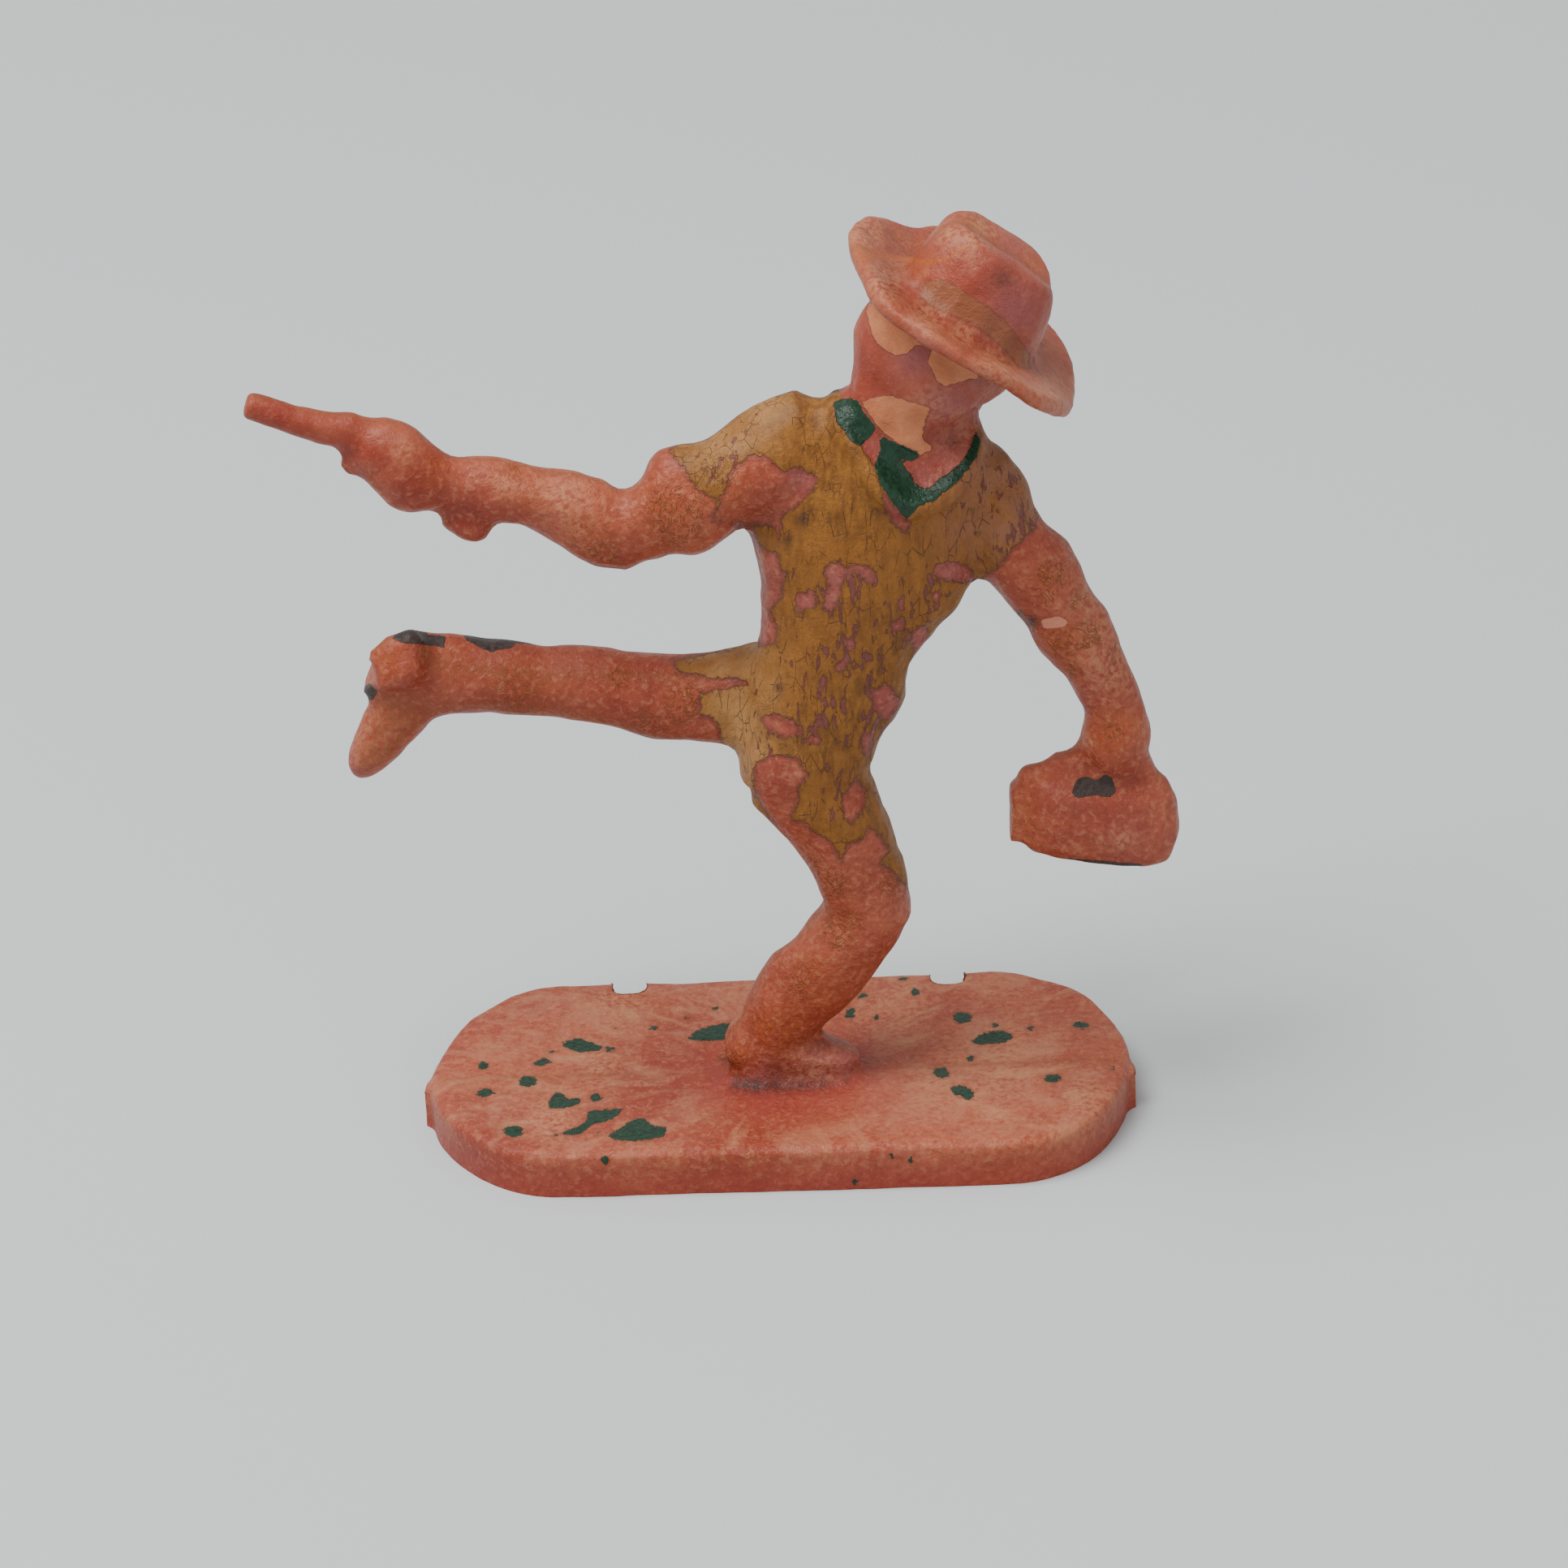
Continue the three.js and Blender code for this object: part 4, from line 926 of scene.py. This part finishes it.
MAUVE = [
    (HEAD_VIEW, [(690, 830, 110, 1.0), (850, 1080, 130, 1.0), (880, 1280, 110, 0.9), (1010, 960, 70, 0.7),
                 (1200, 600, 170, 0.9), (1180, 260, 90, 0.6), (520, 640, 60, 0.4)]),
    (TORSO_VIEW, [(820, 900, 380, 0.75), (900, 1250, 200, 0.6), (630, 360, 60, 0.8), (760, 740, 70, 0.8),
                  (1190, 705, 80, 0.8), (900, 250, 60, 0.6), (970, 500, 50, 0.8), (1080, 350, 60, 0.6)]),
    (LEG_VIEW, [(450, 1450, 110, 0.9), (620, 1420, 120, 0.9), (740, 1410, 90, 0.8)]),
    (BAG_VIEW, [(470, 1290, 150, 0.3), (640, 1380, 120, 0.3), (470, 840, 90, 0.5)]),
]
AMBER = [
    (HEAD_VIEW, [(450, 300, 80, 0.7), (700, 340, 90, 0.5), (960, 190, 80, 0.5), (560, 560, 100, 0.5),
                 (830, 480, 80, 0.5), (980, 620, 100, 0.6), (1180, 780, 90, 0.5)]),
    (PISTOL_VIEW, [(1300, 430, 120, 0.9), (1450, 330, 110, 0.8), (1200, 330, 90, 0.6), (590, 290, 60, 0.7),
                   (850, 290, 60, 0.5), (870, 380, 50, 0.5), (1060, 490, 90, 0.5), (410, 335, 30, 0.8)]),
    (LEG_VIEW, [(640, 1050, 160, 0.7), (480, 1250, 170, 0.9), (320, 1330, 110, 0.8), (700, 800, 90, 0.6),
                (420, 1090, 90, 0.7)]),
    (TRAIL_VIEW, [(190, 220, 80, 0.8), (150, 400, 100, 0.6), (680, 270, 110, 0.5), (1010, 280, 60, 0.6),
                  (1240, 320, 90, 0.6), (430, 170, 90, 0.5)]),
    (BAG_VIEW, [(350, 360, 70, 0.9), (420, 600, 80, 0.9), (450, 720, 50, 0.9), (600, 960, 120, 1.0),
                (230, 1280, 110, 1.0), (420, 1350, 240, 0.45), (300, 1150, 80, 0.6), (180, 300, 100, 0.5)]),
    (BASE_VIEW, [(640, 210, 60, 0.6), (420, 110, 90, 0.4), (600, 500, 200, 0.3), (1280, 480, 120, 0.3)]),
]
GRIME = [
    (PISTOL_VIEW, [(1310, 420, 90, 0.9), (1090, 550, 60, 0.8), (1020, 470, 50, 0.5), (830, 300, 60, 0.3)]),
    (LEG_VIEW, [(740, 840, 80, 1.0), (960, 640, 70, 0.7), (690, 640, 80, 0.7), (620, 560, 60, 0.5),
                (260, 1380, 40, 0.9), (560, 1060, 120, 0.4)]),
    (TRAIL_VIEW, [(640, 330, 110, 0.5), (1000, 270, 60, 0.5), (1120, 430, 90, 0.5), (1240, 360, 80, 0.8)]),
    (BAG_VIEW, [(370, 350, 60, 1.0), (340, 430, 60, 0.7), (410, 620, 55, 1.0), (510, 590, 60, 1.0),
                (610, 960, 35, 1.0), (450, 720, 45, 0.8), (480, 450, 50, 0.6), (270, 540, 50, 1.0),
                (620, 650, 40, 0.6)]),
    (TORSO_VIEW, [(480, 1180, 60, 0.6), (320, 330, 90, 0.6)]),
]
# Painted shade: dark puffs along creases and where parts meet, such as under the boot's foot on the stand.
CREASE_SHADE = [
    (TORSO_VIEW, [(632, 512, 26, 0.8), (575, 590, 22, 0.7), (540, 1140, 16, 0.8)]),
    (BASE_VIEW, [(650, 291, 15, 0.9), (672, 294, 16, 1.0), (695, 295, 18, 1.0), (720, 296, 15, 0.8),
                 (745, 296, 15, 0.9), (770, 296, 15, 0.8), (795, 295, 14, 0.9), (820, 294, 13, 0.7),
                 (845, 292, 13, 0.7), (870, 289, 9, 0.5), (900, 284, 8, 0.5), (622, 236, 8, 0.8)]),
    (BAG_VIEW, [(245, 500, 14, 1.0), (290, 530, 22, 0.9)]),
    (HEAD_VIEW, [(1140, 420, 60, 0.55)]),
]
# Pale puffs: pale flow marks on the stand, and painted light elsewhere, such as the lit top of the hat, a
# painted highlight along the bag's edge and lightened shade on the neck.
WHITISH_AND_PAINTED_LIGHT = [
    (BASE_VIEW, [(370, 105, 70, 0.5), (330, 250, 60, 0.5), (230, 370, 60, 0.6), (1250, 250, 110, 0.5),
                 (1000, 110, 90, 0.4), (1450, 320, 60, 0.5), (1100, 280, 60, 0.4)]),
    (HEAD_VIEW, [(720, 600, 60, 0.5), (930, 700, 80, 0.6), (620, 240, 60, 0.4), (1330, 770, 70, 0.4),
                 (440, 200, 110, 0.7), (540, 430, 110, 0.7), (760, 610, 100, 0.7), (1120, 880, 130, 0.7),
                 (1380, 1000, 120, 0.7), (860, 200, 80, 0.6), (780, 1080, 110, 0.5), (900, 1190, 110, 0.5),
                 (1000, 190, 110, 0.7)]),
    (TRAIL_VIEW, [(170, 480, 110, 0.5)]),
    (PISTOL_VIEW, [(980, 380, 70, 0.6), (800, 335, 40, 0.5), (500, 230, 40, 0.4)]),
    (BAG_VIEW, [(650, 1390, 40, 0.6), (570, 1400, 40, 0.4), (520, 1010, 24, 0.7), (251, 1180, 16, 0.3),
                (247, 1215, 16, 0.3), (244, 1250, 16, 0.3), (242, 1285, 16, 0.3), (239, 1320, 16, 0.3),
                (236, 1355, 16, 0.3), (600, 690, 150, 0.5), (540, 430, 120, 0.5), (560, 560, 100, 0.4)]),
    (LEG_VIEW, [(540, 170, 40, 0.4), (590, 500, 40, 0.3), (600, 1420, 120, 0.45)]),
]
print("stained views:", sum(map(len, (TAN_WEAR_AND_LIGHT, ROSY_STAIN_AND_SHADE, MAUVE, AMBER, GRIME, CREASE_SHADE, WHITISH_AND_PAINTED_LIGHT))))

# %% [markdown]
# Three marks are measured on the skin itself: how hollow it is, how far it faces down, and how near it lies
# to the parting line, where the two halves of the tool met. The hollows and the undersides carry painted
# shade.
# All marks are then kept together, and each piece will store its share of them.

# %% Marks on the skin
HOLLOW_ROUNDS, HOLLOW_DEPTH = 10, 0.25
SEAM_WIDTH = 0.3
DOWN_FROM, DOWN_ROUNDS = 0.1, 4


def strongest_puffs(layers):
    """The strongest of the airbrushed puffs of every view."""
    return np.max([airbrush(view, puffs) for view, puffs in layers], axis=0)


# Painted shade in the hollows: how far a corner lies below its neighbours.
above_middle = ((points - spread(points, HOLLOW_ROUNDS)) * normals).sum(axis=1)
hollow_shade = np.clip(-above_middle / HOLLOW_DEPTH, 0, 1)
seam = np.exp(-(((points[:, 1] - PARTING_Y) / SEAM_WIDTH) ** 2)) * (1 - stand_share[:, 0])
# Painted shade on the undersides: how far a corner faces down.
underside_shade_share = np.clip(DOWN_FROM - normals[:, 2:], 0, 1) * (1 - stand_share)
underside_shade_share = spread(underside_shade_share, DOWN_ROUNDS)
marks = {
    "hollow_shade": hollow_shade, "seam": seam, "underside_shade": underside_shade_share[:, 0],
    "ochre": ochre, "chips": chips, "browned": browned, "tan": strongest_puffs(TAN_WEAR_AND_LIGHT),
    "green": green, "flesh": flesh, "dark": dark, "pale": pale, "brown": brown, "orange": orange,
    "rosy_and_shade": strongest_puffs(ROSY_STAIN_AND_SHADE), "mauve": strongest_puffs(MAUVE), "amber": strongest_puffs(AMBER), "grime": strongest_puffs(GRIME),
    "crease_shade": strongest_puffs(CREASE_SHADE), "whitish_and_painted_light": strongest_puffs(WHITISH_AND_PAINTED_LIGHT),
}
print("marks stored on the skin:", ", ".join(marks))

# %% [markdown]
# The plastic and its paints share one material, because every paint wanders over several members. The maths
# of the material is written as Python expressions: a small class wraps a socket, and each operator adds the
# Math node that it stands for.

# %% Shader expressions
class Socket:
    """A shader socket that takes part in Python arithmetic."""

    def __init__(self, finish, socket):
        self.finish = finish
        self.socket = socket

    def math(self, operation, *others):
        inputs = dict(enumerate((self, *others)))
        return self.finish.node("ShaderNodeMath", {"operation": operation}, inputs)

    def __add__(self, other):
        return self.math("ADD", other)

    def __sub__(self, other):
        return self.math("SUBTRACT", other)

    def __rsub__(self, other):
        return self.finish.node("ShaderNodeMath", {"operation": "SUBTRACT"}, {0: other, 1: self})

    def __mul__(self, other):
        return self.math("MULTIPLY", other)

    def __truediv__(self, other):
        return self.math("DIVIDE", other)

    __radd__ = __add__
    __rmul__ = __mul__

    def least(self, other):
        return self.math("MINIMUM", other)

    def between(self, low, high):
        """0 below low, 1 above high, and a smooth step between them."""
        settings = {"interpolation_type": "SMOOTHSTEP"}
        return self.finish.node("ShaderNodeMapRange", settings, {"Value": self, 1: low, 2: high})


class Finish:
    """A material whose nodes are made by one method."""

    def __init__(self, name):
        self.material = bpy.data.materials.new(name)
        self.material.use_nodes = True
        self.tree = self.material.node_tree
        self.tree.nodes.clear()

    def node(self, kind, settings, inputs, output=0):
        """Any node: its kind, its settings, which are set first, and the values or links of its sockets."""
        node = self.tree.nodes.new(kind)
        for name, value in settings.items():
            setattr(node, name, value)
        for name, value in inputs.items():
            socket = node.inputs[name]
            if isinstance(value, Socket):
                self.tree.links.new(value.socket, socket)
            else:
                socket.default_value = value
        return Socket(self, node.outputs[output]) if output is not None else node

    def mark(self, name):
        """One of the marks that the skin stores."""
        return self.node("ShaderNodeAttribute", {"attribute_name": name}, {}, "Fac")

    def noise(self, place, scale, detail=2.0, twist=0.0):
        values = {"Vector": place, "Scale": scale, "Detail": detail, "Distortion": twist}
        return self.node("ShaderNodeTexNoise", {}, values, "Fac")

    def mix(self, share, first, second):
        """Two colours, the second laid over the first by a share."""
        return self.node("ShaderNodeMix", {"data_type": "RGBA"}, {0: share, 6: first, 7: second}, 2)


def colour(red, green_part, blue):
    """A colour, given as 0 to 255 on screen, in the linear values that shaders use."""
    screen = np.array([red, green_part, blue]) / 255
    linear = np.where(screen <= 0.04045, screen / 12.92, ((screen + 0.055) / 1.055) ** 2.4)
    return (*linear.tolist(), 1.0)


print("pink plastic in linear colour:", [round(part, 3) for part in colour(200, 122, 98)])

# %% [markdown]
# Every layer of the finish uses the same few noises, from broad clouds to fine grain, so they are made
# once. The places are in millimetres, which makes a noise's scale a number of waves in a millimetre.

# %% Noises of the moulding
HAT_STARTS, HAT_CLEAR = 41, 44


class Moulding(Finish):
    """The toy's finish, with the places and noises that all its layers share."""

    def __init__(self, name):
        super().__init__(name)
        coords = self.node("ShaderNodeTexCoord", {}, {}, "Object")
        self.place = self.node("ShaderNodeVectorMath", {"operation": "SCALE"}, {0: coords, "Scale": 1 / MM})
        parts = self.node("ShaderNodeSeparateXYZ", {}, {0: self.place}, None)
        self.x, self.y, self.z = (Socket(self, parts.outputs[i]) for i in range(3))
        self.clouds = self.noise(self.place, 0.16, 3)
        self.mottle = self.noise(self.place, 0.8, 3)
        self.fine = self.noise(self.place, 3.2, 3)
        self.grain = self.noise(self.place, 11.0, 2)
        # Painted glints: fine pale dots that stand for highlights.
        self.glints = self.noise(self.place, 7.0, 2).between(0.64, 0.74)
        self.fibres = self.noise(self.place, 2.8, 5, 0.6)
        self.wrinkled = 1 - self.z.between(HAT_STARTS, HAT_CLEAR) * 0.65
        self.ragged = (self.mottle - 0.5) * 0.5 + (self.fine - 0.5) * 0.5 + (self.grain - 0.5) * 0.12
        self.on = {}

    def drawn_out(self, share):
        """The place with its height scaled down, so that a noise runs along the folds of the shirt."""
        settings = {"operation": "MULTIPLY"}
        return self.node("ShaderNodeVectorMath", settings, {0: self.place, 1: (1.0, 1.0, share)})


print("the hat is smoother above", HAT_STARTS, "mm")

# %% [markdown]
# The plastic is waxy: pale where it is thick and lit, which is partly painted light, and redder in hollows and
# undersides, which is painted shade. It has orange stains where it has yellowed, fine wrinkles where it was
# handled, and painted glints. One flat pink would look like new, so each layer is laid over the tone below it
# by a share that a noise breaks up.

# %% Bare plastic
def plastic(finish):
    """Tone of the bare plastic with its stains."""
    mix, mark, fine, mottle, ragged = finish.mix, finish.mark, finish.fine, finish.mottle, finish.ragged
    fibres, wrinkled = finish.fibres, finish.wrinkled
    tone = mix(finish.clouds.between(0.35, 0.65), colour(164, 76, 60), colour(182, 98, 74))
    tone = mix(mottle.between(0.5, 0.75) * 0.5, tone, colour(198, 122, 90))
    # Red puffs: partly stain, partly painted shade.
    tone = mix(mark("rosy_and_shade") * (0.35 + 0.65 * mottle.between(0.2, 0.7)), tone, colour(138, 44, 34))
    tone = mix(mark("mauve") * 0.9, tone, colour(158, 90, 96))
    tone = mix(mark("amber") * (0.35 + 0.65 * fine.between(0.35, 0.65)), tone, colour(170, 82, 38))
    # Pale puffs: partly pale plastic, partly painted light.
    tone = mix(mark("whitish_and_painted_light") * fine.between(0.35, 0.6), tone, colour(210, 152, 116))
    # Painted shade: deeper red in the hollows.
    tone = mix(mark("hollow_shade") * 0.45, tone, colour(112, 34, 24))
    # Painted shade: deeper red on the undersides.
    tone = mix(mark("underside_shade") * 0.35, tone, colour(146, 46, 36))
    tone = mix(finish.grain.between(0.56, 0.72) * 0.25, tone, colour(138, 56, 42))
    tone = mix(fibres.between(0.52, 0.66) * wrinkled * 0.3, tone, colour(206, 144, 112))
    tone = mix((1 - fibres.between(0.36, 0.48)) * wrinkled * 0.35, tone, colour(128, 52, 34))
    tone = mix(mark("seam") * fine.between(0.3, 0.6) * 0.6, tone, colour(140, 78, 40))
    # Painted glints on the plastic.
    tone = mix(finish.glints * 0.15, tone, colour(224, 166, 140))
    brown_in = mark("brown") + ragged * 0.5
    tone = mix(brown_in.between(-0.1, 0.1) * 0.8, tone, colour(148, 94, 66))
    brown_edge = 1 - brown_in.math("ABSOLUTE").between(0.02, 0.12)
    tone = mix(brown_edge * 0.35, tone, colour(104, 54, 36))
    orange_in = mark("orange") + ragged * 0.4
    return mix(orange_in.between(-0.12, 0.15) * 0.75, tone, colour(184, 100, 42))


print("rosy stain in linear colour:", [round(part, 3) for part in colour(138, 44, 34)[:3]])

# %% [markdown]
# The stand shows how the plastic ran: pale flow lines lead away from the foot, where it came in. The plastic
# is redder at the foot, and it is darker and redder towards the bottom of the side. A noise in round
# coordinates, with little change along the distance, gives lines that spread like spokes.

# %% Flow lines on the stand
FOOT_MIDDLE = np.array(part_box("standing_boot_foot")).mean(axis=0)[:2] / MM
SPOKES, SPOKE_DRAW = 5, 0.16
EDGE_STARTS, EDGE_CLEAR = 1.9, 2.6


def flow_lines(finish, tone):
    """The tone with the stand's flow lines laid over it."""
    noise, mix, z = finish.noise, finish.mix, finish.z
    foot_x, foot_y = finish.x - FOOT_MIDDLE[0], finish.y - FOOT_MIDDLE[1]
    far = (foot_x * foot_x + foot_y * foot_y).math("SQRT")
    stand = 1 - z.between(STAND_TOP + 0.1, STAND_TOP + 0.5)
    spokes = {0: foot_x / far * SPOKES, 1: foot_y / far * SPOKES, 2: far * SPOKE_DRAW}
    along = finish.node("ShaderNodeCombineXYZ", {}, spokes)
    on_top = z.between(EDGE_STARTS, EDGE_CLEAR)
    streaks = noise(along, 1.6, 4, 0.6).between(0.5, 0.72)
    tone = mix(stand * streaks * far.between(4, 9) * on_top * 0.35, tone, colour(212, 160, 122))
    drifts = noise(finish.place, 0.3, 4, 1.2).between(0.48, 0.66)
    tone = mix(stand * drifts * far.between(4, 8) * on_top * 0.26, tone, colour(204, 150, 122))
    tone = mix(stand * (1 - far.between(2.5, 8)) * 0.45, tone, colour(172, 62, 58))
    # Darker and redder towards the bottom of the side.
    return mix((1 - z.between(0.2, 2.2)) * 0.5, tone, colour(156, 50, 44))


print("flow lines start at", FOOT_MIDDLE.round(1), "mm")

# %% [markdown]
# Grime sits in fine curly lines. The middle level of a twisted noise is a curly line by itself, so the
# distance from that level makes the lines. A last tint is multiplied over the whole, because old plastic
# has darkened.

# %% Grime
AGED = (0.76, 0.7, 0.62, 1)


def grime_lines(finish, tone):
    """The tone with curly lines of grime, darkened by age."""
    mix, mark, fine = finish.mix, finish.mark, finish.fine
    curls = (finish.noise(finish.place, 1.4, 2, 1.8) - 0.5).math("ABSOLUTE")
    dirty = mark("grime").between(0.1, 0.5)
    finish.lines = (1 - curls.between(0.008, 0.05)) * dirty * fine.between(0.3, 0.5)
    tone = mix(finish.lines * 0.8, tone, colour(120, 70, 30))
    tone = mix(mark("grime") * fine.between(0.5, 0.7) * 0.6, tone, colour(150, 92, 40))
    settings = {"data_type": "RGBA", "blend_type": "MULTIPLY"}
    return finish.node("ShaderNodeMix", settings, {0: 1.0, 6: tone, 7: AGED}, 2)


print("plastic is darkened by", AGED[:3])

# %% [markdown]
# The ochre paint is satin, cracked along the shirt, and stands a little proud of the plastic with a dark
# line round each flake, which is partly dirt and partly painted shade at the edge. Its chips show purplish
# plastic. They are cut by a noise drawn out along the folds, so the flakes are long, as the brush strokes
# were.

# %% Ochre paint
STROKE_DRAW, HAIR_DRAW = 0.35, 0.16


def ochre_paint(finish, tone):
    """The tone with the ochre paint laid over it."""
    noise, mix, mark, mottle = finish.noise, finish.mix, finish.mark, finish.mottle
    tone = mix(mark("ochre").between(0, 0.1) * 0.75, tone, colour(108, 60, 56))
    stretched = finish.drawn_out(STROKE_DRAW)
    flake = (0.72 - mark("chips") * 0.18 - noise(stretched, 2.3, 4, 0.4)) * 2.5
    ochre_in = (mark("ochre") + finish.ragged).least(flake)
    finish.on["ochre"] = ochre_in.between(-0.03, 0.03)
    strokes = noise(stretched, 2.2, 3)
    paint = mix(strokes.between(0.3, 0.7), colour(106, 64, 20), colour(138, 88, 30))
    paint = mix(finish.clouds.between(0.4, 0.6) * 0.5, paint, colour(132, 80, 26))
    paint = mix(mark("browned") * mottle.between(0.25, 0.55), paint, colour(134, 84, 60))
    # Tan: rubbed paint, partly painted light.
    paint = mix(mark("tan") * (0.4 + 0.6 * mottle.between(0.3, 0.6)), paint, colour(164, 118, 70))
    settings = {"feature": "DISTANCE_TO_EDGE"}
    cells = finish.node("ShaderNodeTexVoronoi", settings, {"Vector": stretched, "Scale": 1.4})
    finish.cracks = (1 - cells.between(0.005, 0.026)) * mottle.between(0.46, 0.6)
    paint = mix(finish.cracks * 0.65, paint, colour(84, 54, 26))
    hairs = (noise(finish.drawn_out(HAIR_DRAW), 2.0, 3, 0.3) - 0.5).math("ABSOLUTE")
    hairs = 1 - hairs.between(0.003, 0.02)
    paint = mix(hairs * mottle.between(0.4, 0.6) * 0.45, paint, colour(80, 48, 22))
    # Painted glints on the paint.
    paint = mix(finish.glints * 0.3, paint, colour(160, 118, 66))
    # Dark line inside the edge of each flake: partly dirt, partly painted shade.
    rim_dirt_and_shade = 1 - ochre_in.between(0.02, 0.14)
    paint = mix(rim_dirt_and_shade * 0.65, paint, colour(92, 58, 30))
    # Dark line outside the edge of each flake: partly dirt, partly painted shade.
    tone = mix(ochre_in.between(-0.35, -0.02) * 0.6, tone, colour(92, 44, 38))
    return mix(finish.on["ochre"], tone, paint)


print("brush strokes are drawn out", round(1 / STROKE_DRAW, 1), "times")

# %% [markdown]
# Flesh, green and dark brown are thicker drops of paint. Each has its own ragged edge, most have a dark rim
# that is partly dirt and partly painted shade, and the green is glossy. The painted shade in the creases comes
# last, because it lies on paint and plastic alike.

# %% Flesh, green and dark brown paint
def small_paints(finish, tone):
    """The tone with the smaller paints and the painted crease shade laid over it."""
    mix, mark, fine, ragged, on = finish.mix, finish.mark, finish.fine, finish.ragged, finish.on
    flesh_in = mark("flesh") + ragged * 0.35
    on["flesh"] = flesh_in.between(-0.02, 0.02)
    paint = mix(finish.mottle.between(0.3, 0.7), colour(174, 102, 66), colour(188, 116, 78))
    # Dark rim round the flesh: partly dirt, partly painted shade.
    tone = mix(flesh_in.between(-0.12, -0.02) * 0.5, tone, colour(110, 62, 56))
    tone = mix(on["flesh"], tone, paint)
    on["pale"] = (mark("pale") + ragged * 0.2).between(-0.02, 0.02)
    tone = mix(on["pale"], tone, colour(188, 118, 94))
    green_in = mark("green") + ragged * 0.55
    on["green"] = green_in.between(-0.02, 0.03)
    paint = mix(fine.between(0.35, 0.65), colour(18, 44, 29), colour(25, 56, 38))
    # Dark rim round the green: partly dirt, partly painted shade.
    tone = mix(green_in.between(-0.15, -0.02) * 0.3, tone, colour(104, 60, 38))
    tone = mix(on["green"], tone, paint)
    on["dark"] = (mark("dark") + ragged * 0.3).between(-0.02, 0.02)
    paint = mix(fine.between(0.3, 0.7), colour(46, 36, 33), colour(66, 52, 48))
    tone = mix(on["dark"], tone, paint)
    # Painted shade in the creases, over paint and plastic alike.
    return mix(mark("crease_shade") * fine.between(0.15, 0.45), tone, colour(46, 30, 26))


print("green paint in linear colour:", [round(part, 3) for part in colour(25, 56, 38)[:3]])

# %% [markdown]
# The layers come together in one material for each slot of the record. Its roughness follows the paints,
# and a bump raises the paint by a few hundredths of a millimetre and cuts the cracks and the grime into it.

# %% Moulded plastic with worn paint
PLASTIC_IOR, GLOSS, BUMP_STRENGTH = 1.45, 0.3, 0.9


def moulding(name):
    """The whole material of one slot."""
    finish = Moulding(name)
    tone = flow_lines(finish, plastic(finish))
    tone = ochre_paint(finish, grime_lines(finish, tone))
    tone = small_paints(finish, tone)
    on, fine = finish.on, finish.fine
    rough = 0.42 + (fine - 0.5) * 0.25 + on["ochre"] * 0.08 - on["green"] * 0.16 - on["flesh"] * 0.04
    height = (on["ochre"] + on["flesh"] + on["green"] * 1.5 + on["dark"] + on["pale"]) * 0.05
    height = height - finish.cracks * on["ochre"] * 0.05 - finish.lines * 0.04
    height = height + fine * 0.07 + finish.grain * 0.03 + finish.fibres * finish.wrinkled * 0.12
    settings = {"Height": height, "Distance": MM, "Strength": BUMP_STRENGTH}
    bump = finish.node("ShaderNodeBump", {}, settings)
    surface = finish.node("ShaderNodeBsdfPrincipled", {}, {
        "Base Color": tone, "Roughness": rough, "Normal": bump, "IOR": PLASTIC_IOR,
        "Specular IOR Level": GLOSS})
    finish.node("ShaderNodeOutputMaterial", {}, {"Surface": surface}, None)
    return finish.material


finishes = {slot: moulding(slot) for slot in sorted(set(slot_of.values()))}
print("materials:", ", ".join(finishes))

# %% [markdown]
# With the marks and the materials at hand, every node gets its piece. A piece takes the material of its own
# slot; the finishes are alike, and the marks say which paint shows where.

# %% All pieces
pieces = [piece(number, marks, finishes[slot_of[node]]) for number, node in enumerate(names)]
print("pieces:", len(pieces))

# %% [markdown]
# The toy stands on a plain pale floor. It lies a hair below the stand, so that the two never flicker.

# %% Floor
FLOOR_HALF, FLOOR_DROP = 2.0, 0.00002
FLOOR_TINT, FLOOR_ROUGHNESS = (0.535, 0.565, 0.57, 1), 0.9

floor_mesh = bpy.data.meshes.new("floor")
signs = [(-1, -1), (1, -1), (1, 1), (-1, 1)]
floor_mesh.from_pydata([(i * FLOOR_HALF, j * FLOOR_HALF, 0) for i, j in signs], [], [(0, 1, 2, 3)])
floor = bpy.data.objects.new("floor", floor_mesh)
floor.location.z = -FLOOR_DROP
bpy.context.collection.objects.link(floor)
floor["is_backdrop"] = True
ground = bpy.data.materials.new("pale_ground")
ground.use_nodes = True
ground_inputs = ground.node_tree.nodes["Principled BSDF"].inputs
ground_inputs["Base Color"].default_value = FLOOR_TINT
ground_inputs["Roughness"].default_value = FLOOR_ROUGHNESS
floor_mesh.materials.append(ground)
print("floor:", 2 * FLOOR_HALF, "m wide")

# %% [markdown]
# The picture was taken in soft daylight. A white sky gives most of it, one large lamp stands for the window
# on the left, and a weak one lifts the shade on the right. Sharp lamps would cut hard shadows that it
# doesn't have.

# %% Light
SKY_STRENGTH = 0.6
LAMPS = [  # name, place and aim in metres, power in watts
    ("window", (-0.25, -0.1, 0.6), (0, 0, 0.02), 6),
    ("bounce", (0.4, -0.45, 0.2), (0, 0, 0.025), 0.7),
]
LAMP_SIZE = 0.4

world = bpy.data.worlds.new("daylight")
world.use_nodes = True
sky_inputs = world.node_tree.nodes["Background"].inputs
sky_inputs["Color"].default_value = (1, 1, 1, 1)
sky_inputs["Strength"].default_value = SKY_STRENGTH
bpy.context.scene.world = world


def lamp(name, place, aim, size, power):
    """A soft square lamp."""
    data = bpy.data.lights.new(name, "AREA")
    data.size = size
    data.energy = power
    obj = bpy.data.objects.new(name, data)
    obj.location = place
    obj.rotation_euler = (Vector(aim) - Vector(place)).to_track_quat("-Z", "Y").to_euler()
    bpy.context.collection.objects.link(obj)


for name, place, aim, power in LAMPS:
    lamp(name, place, aim, LAMP_SIZE, power)
print("lamps:", len(LAMPS))

# %% [markdown]
# The box round everything that is rendered, apart from the floor. The pieces may stand
# only a little proud of the imported solids.

# %% The box
low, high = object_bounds()
